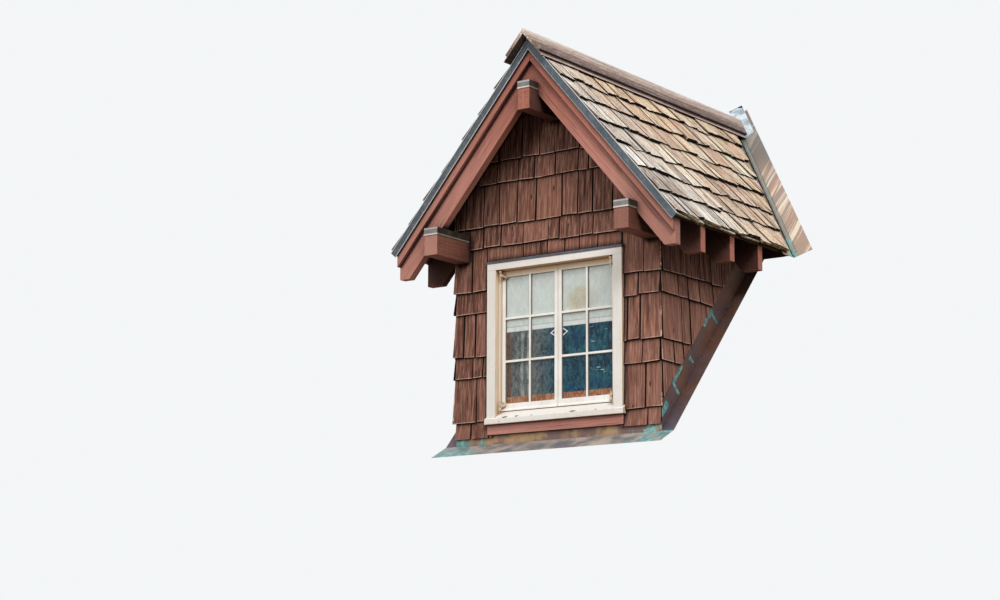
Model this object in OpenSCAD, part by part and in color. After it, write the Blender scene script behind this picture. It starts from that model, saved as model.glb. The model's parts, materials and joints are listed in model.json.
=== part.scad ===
// Gabled dormer window: a shingled front wall and two cheek walls that stand on a steep main
// roof, a small gable roof with projecting beams, and a pair of casements with small panes.
// The origin is at the middle of the front wall's foot, which is cut to the main roof's slope.
// X runs to the right along the wall, Y runs back into the roof and Z is up. Millimetres.

/* [Walls] */
// Width of the dormer over the outer faces of its cheek walls
wall_w = 1800; // [1700:10:2000]
// Thickness of the front wall and of the cheek walls
wall_t = 110; // [95:5:140]
// Thickness of the gable's boarding, in front of the first rafter
sheathing_t = 34; // [25:1:40]

/* [Roof form] */
// Pitch of the dormer roof in degrees
roof_pitch = 49.4; // [47:0.1:51]
// Pitch of the main roof in degrees
main_pitch = 47.2; // [45:0.1:49]
// Height of the ridge, where the tops of the rafters meet
ridge_z = 2798; // [2740:2:2860]
// Level distance from a cheek wall to the plumb cut of the rafter tails
eave_overhang = 315; // [260:5:360]
// Level distance from the front wall to the back of the barge boards
rake_overhang = 245; // [200:5:300]

/* [Rafters and deck] */
// Depth of a rafter, square to the slope
rafter_d = 220; // [190:5:240]
// Thickness of a rafter
rafter_t = 64; // [45:1:80]
// Distance from one rafter to the next, centre to centre
rafter_pitch = 410; // [380:5:430]
// Height of the plumb cut at the rafter tails
tail_h = 182; // [150:2:200]
// Depth of the notch that a rafter has over its plate beam
notch_d = 127; // [100:1:135]
// Thickness of the roof boards
deck_t = 25; // [18:1:30]
// Thickness of the blocks that close the eaves between the rafters
block_t = 38; // [25:1:50]
// Thickness of the valley plates that lie on the main roof
valley_plate_t = 38; // [25:1:50]
// Width of the valley plates
valley_plate_w = 246; // [220:2:260]

/* [Beams] */
// Width of the plate beams
plate_beam_w = 120; // [100:5:140]
// Height of the plate beams
plate_beam_h = 207; // [180:1:230]
// Width of the ridge beam
ridge_beam_w = 102; // [80:2:130]
// Height of the ridge beam
ridge_beam_h = 213; // [180:1:240]
// Drop from the ridge to the top of the ridge beam
ridge_beam_drop = 263; // [240:1:290]
// Length of beam that stands in front of the barge boards
beam_end = 113; // [60:1:150]
// Thickness of the sheet metal caps on the beam ends
cap_t = 2; // [1:0.5:3]
// Height of the turned-down edge of a beam cap
cap_h = 55; // [30:1:70]

/* [Rake] */
// Thickness of a barge board
barge_t = 64; // [40:1:75]
// Depth of a barge board, square to the slope
barge_d = 186; // [150:1:200]
// Thickness of the rake trim
trim_t = 38; // [20:1:45]
// Depth of the rake trim, square to the slope
trim_d = 58; // [40:1:80]
// Distance from the rake trim to the face of the drip edge
drip_gap = 16; // [8:1:25]
// Height of the drip edge's face above the roof boards' underside
drip_up = 50; // [40:1:60]
// Depth of the drip edge's face below the roof boards' underside
drip_down = 8; // [4:1:15]
// Width of the drip edge's flange on the roof boards
drip_flange_w = 90; // [60:5:120]
// Thickness of the drip edge's sheet and hems
drip_t = 3; // [2:0.5:4]

/* [Roof shakes] */
// Length of shake that shows in each course
shake_exposure = 251; // [220:1:280]
// Thickness of the shake roofing at its butts
shake_t = 44; // [36:1:50]
// Height of each butt above the course below it
shake_step = 20; // [12:1:24]
// Level distance from the rafter tails to the shakes' eave
shake_overhang = 47; // [30:1:60]
// Width of the ridge boards
ridge_board_w = 140; // [110:5:170]
// Thickness of the ridge boards
ridge_board_t = 20; // [15:1:28]
// Width of the strip that shows below a ridge board
ridge_strip_w = 46; // [15:1:60]
// Thickness of that strip
ridge_strip_t = 8; // [5:1:12]
// Height of the ridge boards' seat above the upper end of the last course
ridge_rise = 9; // [8:1:14]
// Length of ridge board that stands in front of the drip edge
ridge_overhang = 72; // [40:1:90]

/* [Flashings] */
// Thickness of the sheet metal, drawn thicker than it is
sheet_t = 2; // [1:0.5:3]
// Width of the valley's wing on the main roof
valley_w = 150; // [110:5:200]
// Width of the valley's wing on the dormer roof
valley_in = 120; // [90:5:150]
// Distance along Y from the valley line to the cut ends of the shakes
valley_gap = 95; // [50:5:100]
// Height of the standing crimp in the valley
crimp_h = 24; // [15:1:35]
// Thickness of the crimp
crimp_t = 6; // [4:1:10]
// Width of each strip of the grey saddle cap
saddle_w = 120; // [80:5:135]
// Length of the saddle cap's long strip
saddle_l = 590; // [520:10:640]
// Height of the turned-up end of the saddle cap
saddle_turn_h = 12; // [6:1:20]
// Height of the step flashing on a cheek, square to the main roof
step_h = 180; // [172:2:200]
// Height of the step flashing that shows below the cheek shingles
step_show = 160; // [140:2:168]
// Width of the step flashing on the main roof
step_w = 100; // [60:5:130]
// Distance from one step flashing to the next, up the slope
step_pitch = 250; // [200:5:280]
// Lap of one step flashing over the next
step_lap = 70; // [40:5:100]
// Pitch of the lower roof under the front flashing, in degrees
apron_pitch = 27; // [20:1:32]
// Length of the front flashing down the lower roof
apron_l = 200; // [140:5:240]
// Length of front flashing past each cheek wall
apron_end = 100; // [60:5:130]
// Height that the front flashing reaches behind the shingles
apron_lap = 25; // [15:1:40]

/* [Wall shingles] */
// Thickness of the shingles at their butts
shingle_t = 24; // [20:1:30]
// Thickness of the shingles at the top of the part that shows
shingle_top_t = 10; // [6:1:14]
// Length of shingle that shows in a wide course
course_wide = 326; // [300:1:350]
// Length of shingle that shows in a narrow course
course_narrow = 164.5; // [140:0.5:190]
// Height of the lowest butts
course_z0 = -9; // [-20:1:0]
// Height of the second butts
course_z1 = 117.5; // [100:0.5:135]

/* [Casements] */
// Width of a pane of glass between its bars
pane_w = 213; // [180:1:216]
// Height of a pane of glass between its bars
pane_h = 308; // [280:1:322]
// Panes across one casement
pane_cols = 2; // [1:1:3]
// Panes up one casement
pane_rows = 3; // [2:1:3]
// Width of the bars between the panes
bar_w = 16; // [15:1:30]
// Width of a casement's stiles
stile_w = 30; // [26:1:50]
// Height of a casement's top rail
top_rail_h = 44; // [35:1:60]
// Height of a casement's bottom rail
bottom_rail_h = 55; // [45:1:75]
// Thickness of the casements
sash_t = 40; // [32:1:45]
// Height of the weather bar at a casement's foot
weather_h = 20; // [12:1:22]
// Distance that the weather bar stands out
weather_t = 10; // [6:1:14]
// Thickness of the glass
glass_t = 4; // [3:0.5:6]
// Depth of the groove that holds the glass
glass_bite = 5; // [3:0.5:6]
// Clearance around and between the casements
sash_gap = 2; // [1:0.5:4]

/* [Hinges] */
// Diameter of a hinge's knuckle
knuckle_d = 12; // [9:1:14]
// Height of a hinge's knuckle
knuckle_h = 46; // [35:1:60]
// Thickness of a hinge's leaves
hinge_t = 3; // [2:0.5:4]
// Length of the leaf on the casement
hinge_w = 28; // [20:1:58]
// Distance from a casement's corner to its hinge
hinge_inset = 24; // [22:1:80]

/* [Window frame] */
// Height of the underside of the sill
sill_z = 84; // [70:1:110]
// Height of the sill's front face
sill_face_h = 38; // [30:1:50]
// Height of the sill from its underside to its back edge
sill_h = 97; // [85:1:110]
// Distance that the sill stands in front of the casings
sill_nose = 13; // [6:1:20]
// Length of sill past each side casing
sill_horn = 12; // [5:1:25]
// Thickness of the jambs and of the head
jamb_t = 24; // [18:1:35]
// Width of jamb that shows beside a casing
jamb_show = 14; // [8:1:18]
// Distance from the wall's face back to the casements
sash_inset = 25; // [15:1:30]
// Thickness of the stops that the casements close on
stop_t = 12; // [8:1:15]
// Width of a side casing
casing_w = 78; // [60:1:100]
// Height of the head casing
head_casing_h = 51; // [40:1:70]
// Thickness of the casings
casing_t = 40; // [32:1:50]
// Height of the flashing over the head casing
head_flash_h = 24; // [15:1:35]
// Height of the painted board under the sill
apron_board_h = 76; // [60:1:80]
// Thickness of that board
apron_board_t = 28; // [22:1:32]

/* [Inside the window] */
// Height of the wooden stool behind the glass, above the frame's sill
stool_h = 125; // [80:5:150]
// Thickness of the stool
stool_t = 26; // [18:1:35]
// Height of the bottom edge of the blind
blind_z = 786; // [500:2:1000]
// Distance from the casements back to the blind's cloth
blind_set = 26; // [20:1:35]
// Diameter of the blind's roller
roller_d = 36; // [28:1:45]
// Height of the blind's hem bar
hem_h = 33; // [20:1:45]
// Thickness of the hem bar
hem_t = 8; // [5:1:12]
// Clearance between the jambs and each end of the blind
blind_gap = 10; // [6:1:20]
// Thickness of the blind's cloth
cloth_t = 2; // [1:0.5:3]
// Width of the pull under the hem bar
pull_w = 150; // [100:5:200]
// Height of the pull
pull_h = 56; // [40:1:70]
// Thickness of the pull
pull_t = 3; // [2:0.5:5]
// Thickness of the ring that the pull is cut from
pull_ring = 7; // [5:1:10]

/* [Hidden] */
$fn = 32;

// How far the cutting solids reach past the dormer
far = 5000;
// Directions and slopes that the roofs share
rt = tan(roof_pitch);
rc = cos(roof_pitch);
rs = sin(roof_pitch);
mt = tan(main_pitch);
mc = cos(main_pitch);
ms = sin(main_pitch);

// Faces of the walls
front_y = -wall_t / 2;
back_y = wall_t / 2;
cheek_x = wall_w / 2;
tail_x = cheek_x + eave_overhang;

// Height above x of the plane that lies h square to the slope from the rafter tops
function roof_line(x, h) = ridge_z + h / rc - x * rt;
// A point s down the slope and h square to it, as [x, z]
function on_slope(s, h) = [s * rc + h * rs, ridge_z - s * rs + h * rc];
// The same at the centre line of the dormer
function at_ridge(h) = [0, ridge_z + h / rc];
// Level distance at which that plane comes down to height z
function roof_x(z, h) = (ridge_z + h / rc - z) / rt;

eave_z = roof_line(tail_x, 0);
tail_z = eave_z - tail_h;
plate_top = roof_line(cheek_x, -rafter_d) + notch_d;
plate_bottom = plate_top - plate_beam_h;
ridge_beam_top = ridge_z - ridge_beam_drop;
cheek_top = roof_line(cheek_x + shingle_t, -rafter_d) - 2;

// Rake, from the wall forward
barge_back = front_y - rake_overhang;
barge_front = barge_back - barge_t;
trim_front = barge_front - trim_t;
drip_front = trim_front - drip_gap;
beam_front = barge_front - beam_end;
ridge_front = drip_front - ridge_overhang;

// Layers of the roof, square to the slope from the rafter tops
shake_h0 = deck_t + sheet_t;
shake_h1 = shake_h0 + shake_t;
ridge_seat_h = shake_h1 - shake_step + ridge_rise;
strip_h1 = ridge_seat_h + ridge_strip_t;
board_h1 = strip_h1 + ridge_board_t;
eave_x = tail_x + shake_overhang;
eave_s = (eave_x - (shake_h0 + shake_h1) / 2 * rs) / rc;
shake_courses = floor((eave_s - ridge_board_w * 0.7) / shake_exposure);

// Rafters, counted from the one over the front wall
rafter_y0 = front_y + sheathing_t;
rafter_count = floor((ridge_z / mt - rafter_y0) / rafter_pitch);

// Window sizes
leaf_w = 2 * stile_w + pane_cols * pane_w + (pane_cols - 1) * bar_w;
leaf_h = bottom_rail_h + top_rail_h + pane_rows * pane_h + (pane_rows - 1) * bar_w;
leaf_x0 = sash_gap * 0.75;
jamb_x = leaf_x0 + leaf_w + sash_gap;
frame_x = jamb_x + jamb_t;
casing_x0 = jamb_x + jamb_show;
casing_x1 = casing_x0 + casing_w;
sill_back_z = sill_z + sill_h;
leaf_z = sill_back_z + sash_gap;
head_z = leaf_z + leaf_h + sash_gap;
head_casing_z = head_z + sash_gap;
casing_top = head_casing_z + head_casing_h;
casing_y = front_y - casing_t;
sash_y = front_y + sash_inset;
sash_back = sash_y + sash_t;
glass_y = sash_y + 0.4 * sash_t;
sill_y = casing_y - sill_nose;
sill_t = 30;
blind_y = sash_back + blind_set;
stool_y = back_y + 2;

// Step flashings on a cheek
step_u0 = front_y / mc;
step_top = min(cheek_top, eave_z);
step_count = ceil((step_top / ms - step_u0) / step_pitch);
step_lean = atan(sheet_t / (step_pitch + step_lap));

stain = "#6b3f36";
paint = "#9a5d50";
cream = "#e8e2d2";
cedar = "#b8977a";
copper = "#8a6a52";
dark_metal = "#5f6f76";

// Extrudes an outline drawn in X and Z along Y
module along_y(y0, y1) {
    translate([0, y1, 0]) rotate([90, 0, 0]) linear_extrude(y1 - y0) children();
}

// Extrudes an outline drawn in Y and Z along X
module along_x(x0, x1) {
    translate([x0, 0, 0]) rotate([90, 0, 90]) linear_extrude(x1 - x0) children();
}

// Draws in the main roof's own plane, with Y up its slope and Z square to it
module on_main_roof() {
    rotate([main_pitch, 0, 0]) children();
}

// Everything that lies more than w above the main roof's plane
module above_main_roof(w = 0) {
    along_x(-far, far) polygon([
        [-far, -far * mt + w / mc], [far, far * mt + w / mc], [-far, far * mt + w / mc]
    ]);
}

// Turns a right-hand piece into the left-hand one
module left() {
    mirror([1, 0, 0]) children();
}

// Draws a piece on the right and again on the left
module both_sides() {
    children();
    left() children();
}

// A layer of the right roof slope between two heights, with square ends
module slope_band(h0, h1, s1) {
    polygon([at_ridge(h0), on_slope(s1, h0), on_slope(s1, h1), at_ridge(h1)]);
}

// The space of the ridge beam, grown by g at its sides and top
module ridge_beam_space(g = 0) {
    translate([-ridge_beam_w / 2 - g, beam_front - g, ridge_beam_top - ridge_beam_h])
        cube([ridge_beam_w + 2 * g, far, ridge_beam_h + g]);
}

// The space of the right plate beam, grown by g at its sides and top
module plate_beam_space(g = 0) {
    translate([cheek_x - plate_beam_w - g, beam_front - g, plate_bottom])
        cube([plate_beam_w + 2 * g, far, plate_beam_h + g]);
}

module beam_spaces(g = 0) {
    ridge_beam_space(g);
    both_sides() plate_beam_space(g);
}

// Front wall with its foot cut to the main roof and its gable boarding
module front_wall() {
    seat_x = cheek_x - plate_beam_w;
    color(stain) intersection() {
        above_main_roof();
        difference() {
            union() {
                along_y(front_y, back_y) polygon([
                    [-cheek_x, -wall_t * mt], [cheek_x, -wall_t * mt], [cheek_x, plate_bottom],
                    [seat_x, plate_bottom], [seat_x, roof_line(seat_x, -rafter_d)],
                    at_ridge(-rafter_d), [-seat_x, roof_line(seat_x, -rafter_d)],
                    [-seat_x, plate_bottom], [-cheek_x, plate_bottom]
                ]);
                along_y(front_y, front_y + sheathing_t) polygon([
                    [-cheek_x, 0], [cheek_x, 0], [cheek_x, roof_line(cheek_x, 0)],
                    at_ridge(0), [-cheek_x, roof_line(cheek_x, 0)]
                ]);
            }
            beam_spaces();
            translate([-frame_x, front_y - 1, sill_back_z - sill_t])
                cube([2 * frame_x, wall_t + 2, head_z + jamb_t - sill_back_z + sill_t]);
        }
    }
}

// Cheek walls, triangles that die into the main roof
module cheek_walls() {
    color(stain) both_sides() intersection() {
        above_main_roof();
        translate([cheek_x - wall_t, back_y, 0]) cube([wall_t, far, plate_bottom]);
    }
}

module ridge_beam() {
    color(paint) intersection() {
        above_main_roof();
        ridge_beam_space();
    }
}

module plate_beams() {
    color(paint) both_sides() intersection() {
        above_main_roof();
        plate_beam_space();
    }
}

// The space under a beam's cap, with the cap and the hem along its lower edge
module cap_space(x0, x1, top, l) {
    hem = 2 * cap_t;
    translate([x0 - cap_t, beam_front - cap_t, top - cap_h])
        cube([x1 - x0 + 2 * cap_t, l + cap_t, cap_h + cap_t]);
    translate([x0 - hem, beam_front - hem, top - cap_h])
        cube([x1 - x0 + 2 * hem, l + hem, hem]);
}

// The spaces of the caps on the ridge beam and on the right plate beam
module cap_spaces(l) {
    cap_space(-ridge_beam_w / 2, ridge_beam_w / 2, ridge_beam_top, l);
    cap_space(cheek_x - plate_beam_w, cheek_x, plate_top, l);
}

// Sheet metal caps over the beam ends, from their tips back to the shingles
module beam_caps() {
    color(dark_metal) difference() {
        both_sides() cap_spaces(front_y - shingle_t - 1 - beam_front);
        beam_spaces();
    }
}

// Outline of a rafter or barge board of depth d, with plumb and level cuts at its tail
module rafter_outline(d) {
    polygon([
        at_ridge(0), [tail_x, roof_line(tail_x, 0)], [tail_x, tail_z],
        [roof_x(tail_z, -d), tail_z], at_ridge(-d)
    ]);
}

// Rafters of the right slope, notched over their beams, the last ones cut to the valley
module rafters() {
    color(paint) for (i = [0 : rafter_count - 1]) {
        y = rafter_y0 + i * rafter_pitch;
        intersection() {
            above_main_roof(valley_plate_t);
            difference() {
                along_y(y, y + rafter_t) rafter_outline(rafter_d);
                ridge_beam_space();
                plate_beam_space();
            }
        }
    }
}

// Blocks between the rafters over the plate beams
module eave_blocks() {
    color(paint) both_sides() for (i = [0 : rafter_count - 2]) {
        y = rafter_y0 + i * rafter_pitch;
        intersection() {
            above_main_roof(valley_plate_t);
            along_y(y + rafter_t, y + rafter_pitch) polygon([
                [cheek_x - block_t, plate_top], [cheek_x, plate_top],
                [cheek_x, roof_line(cheek_x, 0)], [cheek_x - block_t, roof_line(cheek_x - block_t, 0)]
            ]);
        }
    }
}

// Where the valley of a roof layer at height h runs, as the distance up the main roof's slope
function valley_u(x, h) = roof_line(x, h) / ms;
// Length of a step across the valley, measured up the slope, for a width w square to it
valley_skew = sqrt(1 + pow(rt / ms, 2));

// Strip along the right valley, from w0 inside the line to w1 outside it
module valley_strip(h, w0, w1, x1) {
    out = [rt / ms, 1] / valley_skew;
    p0 = [0, valley_u(0, h)];
    p1 = [x1, valley_u(x1, h)];
    polygon([
        [0, p0[1] + w0 * valley_skew], [0, p0[1] + w1 * valley_skew], p1 + w1 * out, p1 + w0 * out
    ]);
}

// Plate on the main roof that carries the feet of the rafters, from the eave to the ridge
module valley_plate() {
    color(paint) difference() {
        intersection() {
            translate([0, 0, eave_z]) cube(far);
            on_main_roof() linear_extrude(valley_plate_t)
                valley_strip(0, -valley_plate_w, 2 * valley_plate_t, tail_x);
            along_y(-far, far) polygon([
                at_ridge(0), [far, roof_line(far, 0)], [0, roof_line(far, 0)]
            ]);
        }
        beam_spaces();
    }
}

// Roof boards of the right slope
module roof_deck() {
    color(cedar) intersection() {
        above_main_roof();
        along_y(trim_front, far) polygon([
            at_ridge(0), [tail_x, roof_line(tail_x, 0)], [tail_x, roof_line(tail_x, deck_t)],
            at_ridge(deck_t)
        ]);
    }
}

// Barge board, notched over the beams and their caps
module barge_board() {
    color(paint) difference() {
        along_y(barge_front, barge_back) rafter_outline(barge_d);
        beam_spaces();
        cap_spaces(far);
    }
}

module rake_trim() {
    color(paint) along_y(trim_front, barge_front) polygon([
        at_ridge(0), [tail_x, roof_line(tail_x, 0)], [tail_x, roof_line(tail_x, -trim_d)],
        at_ridge(-trim_d)
    ]);
}

// Metal drip edge along the rake: a face, a flange on the roof boards and two hems
module drip_edge() {
    hem_h = 2 * drip_t;
    face_back = drip_front + drip_t;
    color(dark_metal) {
        along_y(drip_front, face_back) slope_band(-drip_down, drip_up, eave_s);
        along_y(drip_front, trim_front + drip_flange_w) slope_band(deck_t, shake_h0, eave_s);
        along_y(drip_front - drip_t, face_back) slope_band(-drip_down, hem_h - drip_down, eave_s);
        along_y(drip_front - drip_t, face_back) slope_band(drip_up - hem_h, drip_up, eave_s);
    }
}

// Courses of shakes on the right slope, cut back along the valley
module roof_shakes() {
    top_s = eave_s - shake_courses * shake_exposure;
    cut = valley_gap * mt;
    color(cedar) intersection() {
        along_y(drip_front + drip_t, far) polygon(concat(
            [at_ridge(shake_h0), on_slope(eave_s, shake_h0)],
            [for (i = [0 : shake_courses - 1]) each [
                on_slope(eave_s - i * shake_exposure, shake_h1),
                on_slope(eave_s - (i + 1) * shake_exposure, shake_h1 - shake_step)
            ]],
            [on_slope(top_s, ridge_seat_h), at_ridge(ridge_seat_h)]
        ));
        linear_extrude(far) polygon([
            [0, drip_front], [2 * eave_x, drip_front],
            [2 * eave_x, (roof_line(2 * eave_x, shake_h0) - cut) / mt],
            [0, (roof_line(0, shake_h0) - cut) / mt]
        ]);
    }
}

// Ridge board with the strip that shows along its lower edge
module ridge_board() {
    strip_s = ridge_board_w + ridge_strip_w;
    color(cedar) intersection() {
        above_main_roof(2.5 * sheet_t);
        along_y(ridge_front, far) polygon([
            at_ridge(ridge_seat_h), on_slope(strip_s, ridge_seat_h), on_slope(strip_s, strip_h1),
            on_slope(ridge_board_w, strip_h1), on_slope(ridge_board_w, board_h1), at_ridge(board_h1)
        ]);
    }
}

// Valley flashing: a wing on each roof and a standing crimp between them
module valley_flashing() {
    tip_x = eave_x + crimp_t;
    color(copper) intersection() {
        above_main_roof();
        union() {
            on_main_roof() {
                linear_extrude(sheet_t) valley_strip(deck_t, 0, valley_w, tip_x);
                linear_extrude(crimp_h) valley_strip(deck_t, 0, crimp_t, tip_x);
            }
            intersection() {
                along_y(0, far) slope_band(deck_t, shake_h0, (tip_x - deck_t * rs) / rc);
                linear_extrude(far) polygon([
                    [0, (roof_line(0, deck_t)) / mt - valley_in * 1.4],
                    [2 * tip_x, roof_line(2 * tip_x, deck_t) / mt - valley_in * 1.4],
                    [2 * tip_x, roof_line(2 * tip_x, deck_t) / mt + crimp_t],
                    [0, roof_line(0, deck_t) / mt + crimp_t]
                ]);
            }
        }
    }
}

// Grey cap where the valleys meet behind the ridge: a short strip along the left valley runs
// into a long one along the right valley, whose upper end is turned up
module saddle_cap() {
    k = rt / ms;
    along = [-1, k] / valley_skew;
    out = [k, 1] / valley_skew;
    inner = [ridge_board_w, valley_u(ridge_board_w, deck_t)] + crimp_t * out;
    outer = inner + saddle_w * out;
    foot = outer + 0.5 * saddle_w * along;
    low = inner[1] + inner[0] * k;
    high = outer[1] + outer[0] * k;
    tip = saddle_l * along;
    turn = 2 * sheet_t * along;
    color("#b4bcbe") on_main_roof() translate([0, 0, sheet_t]) {
        linear_extrude(sheet_t) polygon([
            [0, low], inner, foot, outer + tip, inner + tip,
            [(low - high) / (2 * k), (low + high) / 2], flip(foot), flip(inner)
        ]);
        linear_extrude(saddle_turn_h)
            polygon([inner + tip, outer + tip, outer + tip - turn, inner + tip - turn]);
    }
}

// A point mirrored to the other side of the dormer
function flip(p) = [-p[0], p[1]];

// Height of the butts of wall course i, narrow and wide courses by turns
function butt_z(i) = i == 0 ? course_z0
    : course_z1 + floor((i - 1) / 2) * (course_wide + course_narrow) + ((i - 1) % 2) * course_wide;

wall_courses = 2 * ceil(ridge_z / (course_wide + course_narrow)) + 1;

// Stepped outline of the shingles on a wall face, as [outward, z] points from the foot up
shingle_points = [for (i = [0 : wall_courses - 1]) each [
    [shingle_t, butt_z(i)], [shingle_top_t, butt_z(i + 1)]
]];

// Front shingles, woven at the corners and cut round the window and the beams
module front_shingles() {
    top = butt_z(wall_courses);
    sides = [for (p = shingle_points) [cheek_x + p[0], p[1]]];
    count = len(sides);
    color(stain) difference() {
        intersection() {
            along_x(-far, far) polygon(concat(
                [[front_y, course_z0]], [for (p = shingle_points) [front_y - p[0], p[1]]],
                [[front_y, top]]
            ));
            along_y(-far, far) polygon(concat(
                sides, [for (i = [count - 1 : -1 : 0]) [-sides[i][0], sides[i][1]]]
            ));
            along_y(-far, far) polygon([
                [-far, roof_line(far, 0)], at_ridge(0), [far, roof_line(far, 0)]
            ]);
        }
        translate([-casing_x1, -far, -far])
            cube([2 * casing_x1, far, casing_top + far]);
        translate([-casing_x1 - sill_horn, -far, casing_top])
            cube([2 * (casing_x1 + sill_horn), far, head_flash_h + 2]);
        translate([-casing_x1 - sill_horn, -far, sill_z])
            cube([2 * (casing_x1 + sill_horn), far, sill_top(front_y) - sill_z]);
        translate([-cheek_x - shingle_t, front_y - sheet_t, -far])
            cube([2 * (cheek_x + shingle_t), far, course_z0 + apron_lap + far]);
        beam_spaces(cap_t);
    }
}

// Cheek shingles, cut parallel to the main roof above the step flashings
module cheek_shingles() {
    color(stain) difference() {
        intersection() {
            above_main_roof(step_show);
            along_y(front_y, far) polygon(concat(
                [[cheek_x, course_z0]],
                [for (p = shingle_points) [cheek_x + p[0], p[1]]],
                [[cheek_x, butt_z(wall_courses)]]
            ));
            translate([0, front_y, course_z0]) cube([far, far, cheek_top - course_z0]);
        }
        step_legs(2 * sheet_t);
    }
}

// Upright legs of the step flashings, t thick over all
module step_legs(t) {
    intersection() {
        on_main_roof() translate([cheek_x, step_u0, 0])
            cube([t, step_count * step_pitch, step_h]);
        translate([0, front_y, -far]) cube([far, far, step_top + far]);
    }
}

// Step flashings: upright leaves that lap like shingles, and the wing below them
module step_flashings() {
    leaf = step_pitch + step_lap;
    color(copper) both_sides() intersection() {
        on_main_roof() {
            for (i = [0 : step_count - 1])
                translate([cheek_x, step_u0 + i * step_pitch + leaf, 0])
                    rotate([0, 0, step_lean]) translate([0, -leaf, 0]) cube([sheet_t, leaf, step_h]);
            translate([cheek_x, step_u0, 0]) cube([step_w, step_count * step_pitch, sheet_t]);
        }
        translate([cheek_x, front_y, -far]) cube([far, far, step_top + far]);
    }
}

// Front flashing: an upright leg on the wall and a skirt down the lower roof
module base_flashing() {
    foot_z = front_y * mt;
    lip = [front_y - apron_l * cos(apron_pitch), foot_z - apron_l * sin(apron_pitch)];
    rise = sheet_t / cos(apron_pitch);
    color(copper) {
        along_x(-cheek_x, cheek_x) polygon([
            [front_y, foot_z], [front_y, course_z0 + apron_lap],
            [front_y - sheet_t, course_z0 + apron_lap], [front_y - sheet_t, foot_z]
        ]);
        along_x(-cheek_x - apron_end, cheek_x + apron_end) polygon([
            [front_y, foot_z], [front_y, foot_z + rise], lip + [0, rise], lip
        ]);
    }
}

module apron_board() {
    color(paint) difference() {
        translate([-casing_x1, front_y - apron_board_t, sill_z - apron_board_h])
            cube([2 * casing_x1, apron_board_t, apron_board_h]);
        translate([-far, front_y - sheet_t, -far])
            cube([2 * far, far, course_z0 + apron_lap + far]);
    }
}

// Jambs, head and stops of the window, with the jambs' feet cut to the sill
module window_frame() {
    stop_y = sash_back + 1;
    color(cream) difference() {
        translate([-frame_x, front_y, sill_back_z - sill_t])
            cube([2 * frame_x, wall_t, head_z + jamb_t - sill_back_z + sill_t]);
        along_x(-far, far) polygon([
            [front_y - 1, -far], [front_y - 1, sill_top(front_y - 1)], [sash_y, sill_back_z],
            [back_y + 1, sill_back_z], [back_y + 1, -far]
        ]);
        translate([-jamb_x, front_y - 1, 0]) cube([2 * jamb_x, stop_y - front_y + 1, head_z]);
        translate([-jamb_x + stop_t, front_y, 0])
            cube([2 * (jamb_x - stop_t), wall_t + 1, head_z - stop_t]);
        translate([-jamb_x, stop_y + stop_t, 0]) cube([2 * jamb_x, wall_t, head_z]);
    }
}

// Sill with a sloping top, a nose in front of the casings and a horn at each end
module window_sill() {
    color(cream) {
        along_x(-frame_x, frame_x) polygon([
            [sash_y, sill_back_z - sill_t], [front_y, sill_back_z - sill_t],
            [front_y, sill_top(front_y)], [sash_y, sill_back_z], [back_y, sill_back_z],
            [back_y, sill_back_z - sill_t]
        ]);
        along_x(-casing_x1 - sill_horn, casing_x1 + sill_horn) polygon([
            [front_y, sill_z], [sill_y, sill_z], [sill_y, sill_z + sill_face_h],
            [front_y, sill_top(front_y)]
        ]);
    }
}

// Height of the sill's sloping top at y
function sill_top(y) = sill_z + sill_face_h
    + (y - sill_y) * (sill_h - sill_face_h) / (sash_y - sill_y);

// Side casings, cut to the sill's slope
module side_casings() {
    color(cream) for (m = [0, 1]) mirror([m, 0, 0]) along_x(casing_x0, casing_x1) polygon([
        [front_y, sill_top(front_y)], [casing_y, sill_top(casing_y)],
        [casing_y, head_casing_z], [front_y, head_casing_z]
    ]);
}

module head_casing() {
    color(cream) translate([-casing_x1, casing_y, head_casing_z])
        cube([2 * casing_x1, casing_t, head_casing_h]);
}

// Sloping metal flashing over the head casing
module head_flashing() {
    color(dark_metal) along_x(-casing_x1 - 4, casing_x1 + 4) polygon([
        [front_y, casing_top], [casing_y - 5, casing_top],
        [casing_y - 5, casing_top + head_flash_h * 0.7], [front_y, casing_top + head_flash_h]
    ]);
}

// Lower left corners of the panes of the right casement, as [x, z]
pane_corners = [for (c = [0 : pane_cols - 1], r = [0 : pane_rows - 1]) [
    leaf_x0 + stile_w + c * (pane_w + bar_w), leaf_z + bottom_rail_h + r * (pane_h + bar_w)
]];

// Right casement: stiles, rails and bars with a groove for the glass, and a weather bar
module sash() {
    color(cream) {
        difference() {
            translate([leaf_x0, sash_y, leaf_z]) cube([leaf_w, sash_t, leaf_h]);
            for (p = pane_corners) {
                translate([p[0], sash_y - 1, p[1]]) cube([pane_w, sash_t + 2, pane_h]);
                translate([p[0] - glass_bite, glass_y, p[1] - glass_bite])
                    cube([pane_w + 2 * glass_bite, glass_t, pane_h + 2 * glass_bite]);
            }
        }
        along_x(leaf_x0, leaf_x0 + leaf_w) polygon([
            [sash_y, leaf_z], [sash_y - weather_t, leaf_z],
            [sash_y - weather_t, leaf_z + weather_h / 2], [sash_y, leaf_z + weather_h]
        ]);
    }
}

// The panes of both casements, each in its groove
module window_glass() {
    color("#5f8a94") for (m = [0, 1]) mirror([m, 0, 0]) for (p = pane_corners)
        translate([p[0] - glass_bite, glass_y, p[1] - glass_bite])
            cube([pane_w + 2 * glass_bite, glass_t, pane_h + 2 * glass_bite]);
}

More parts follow.
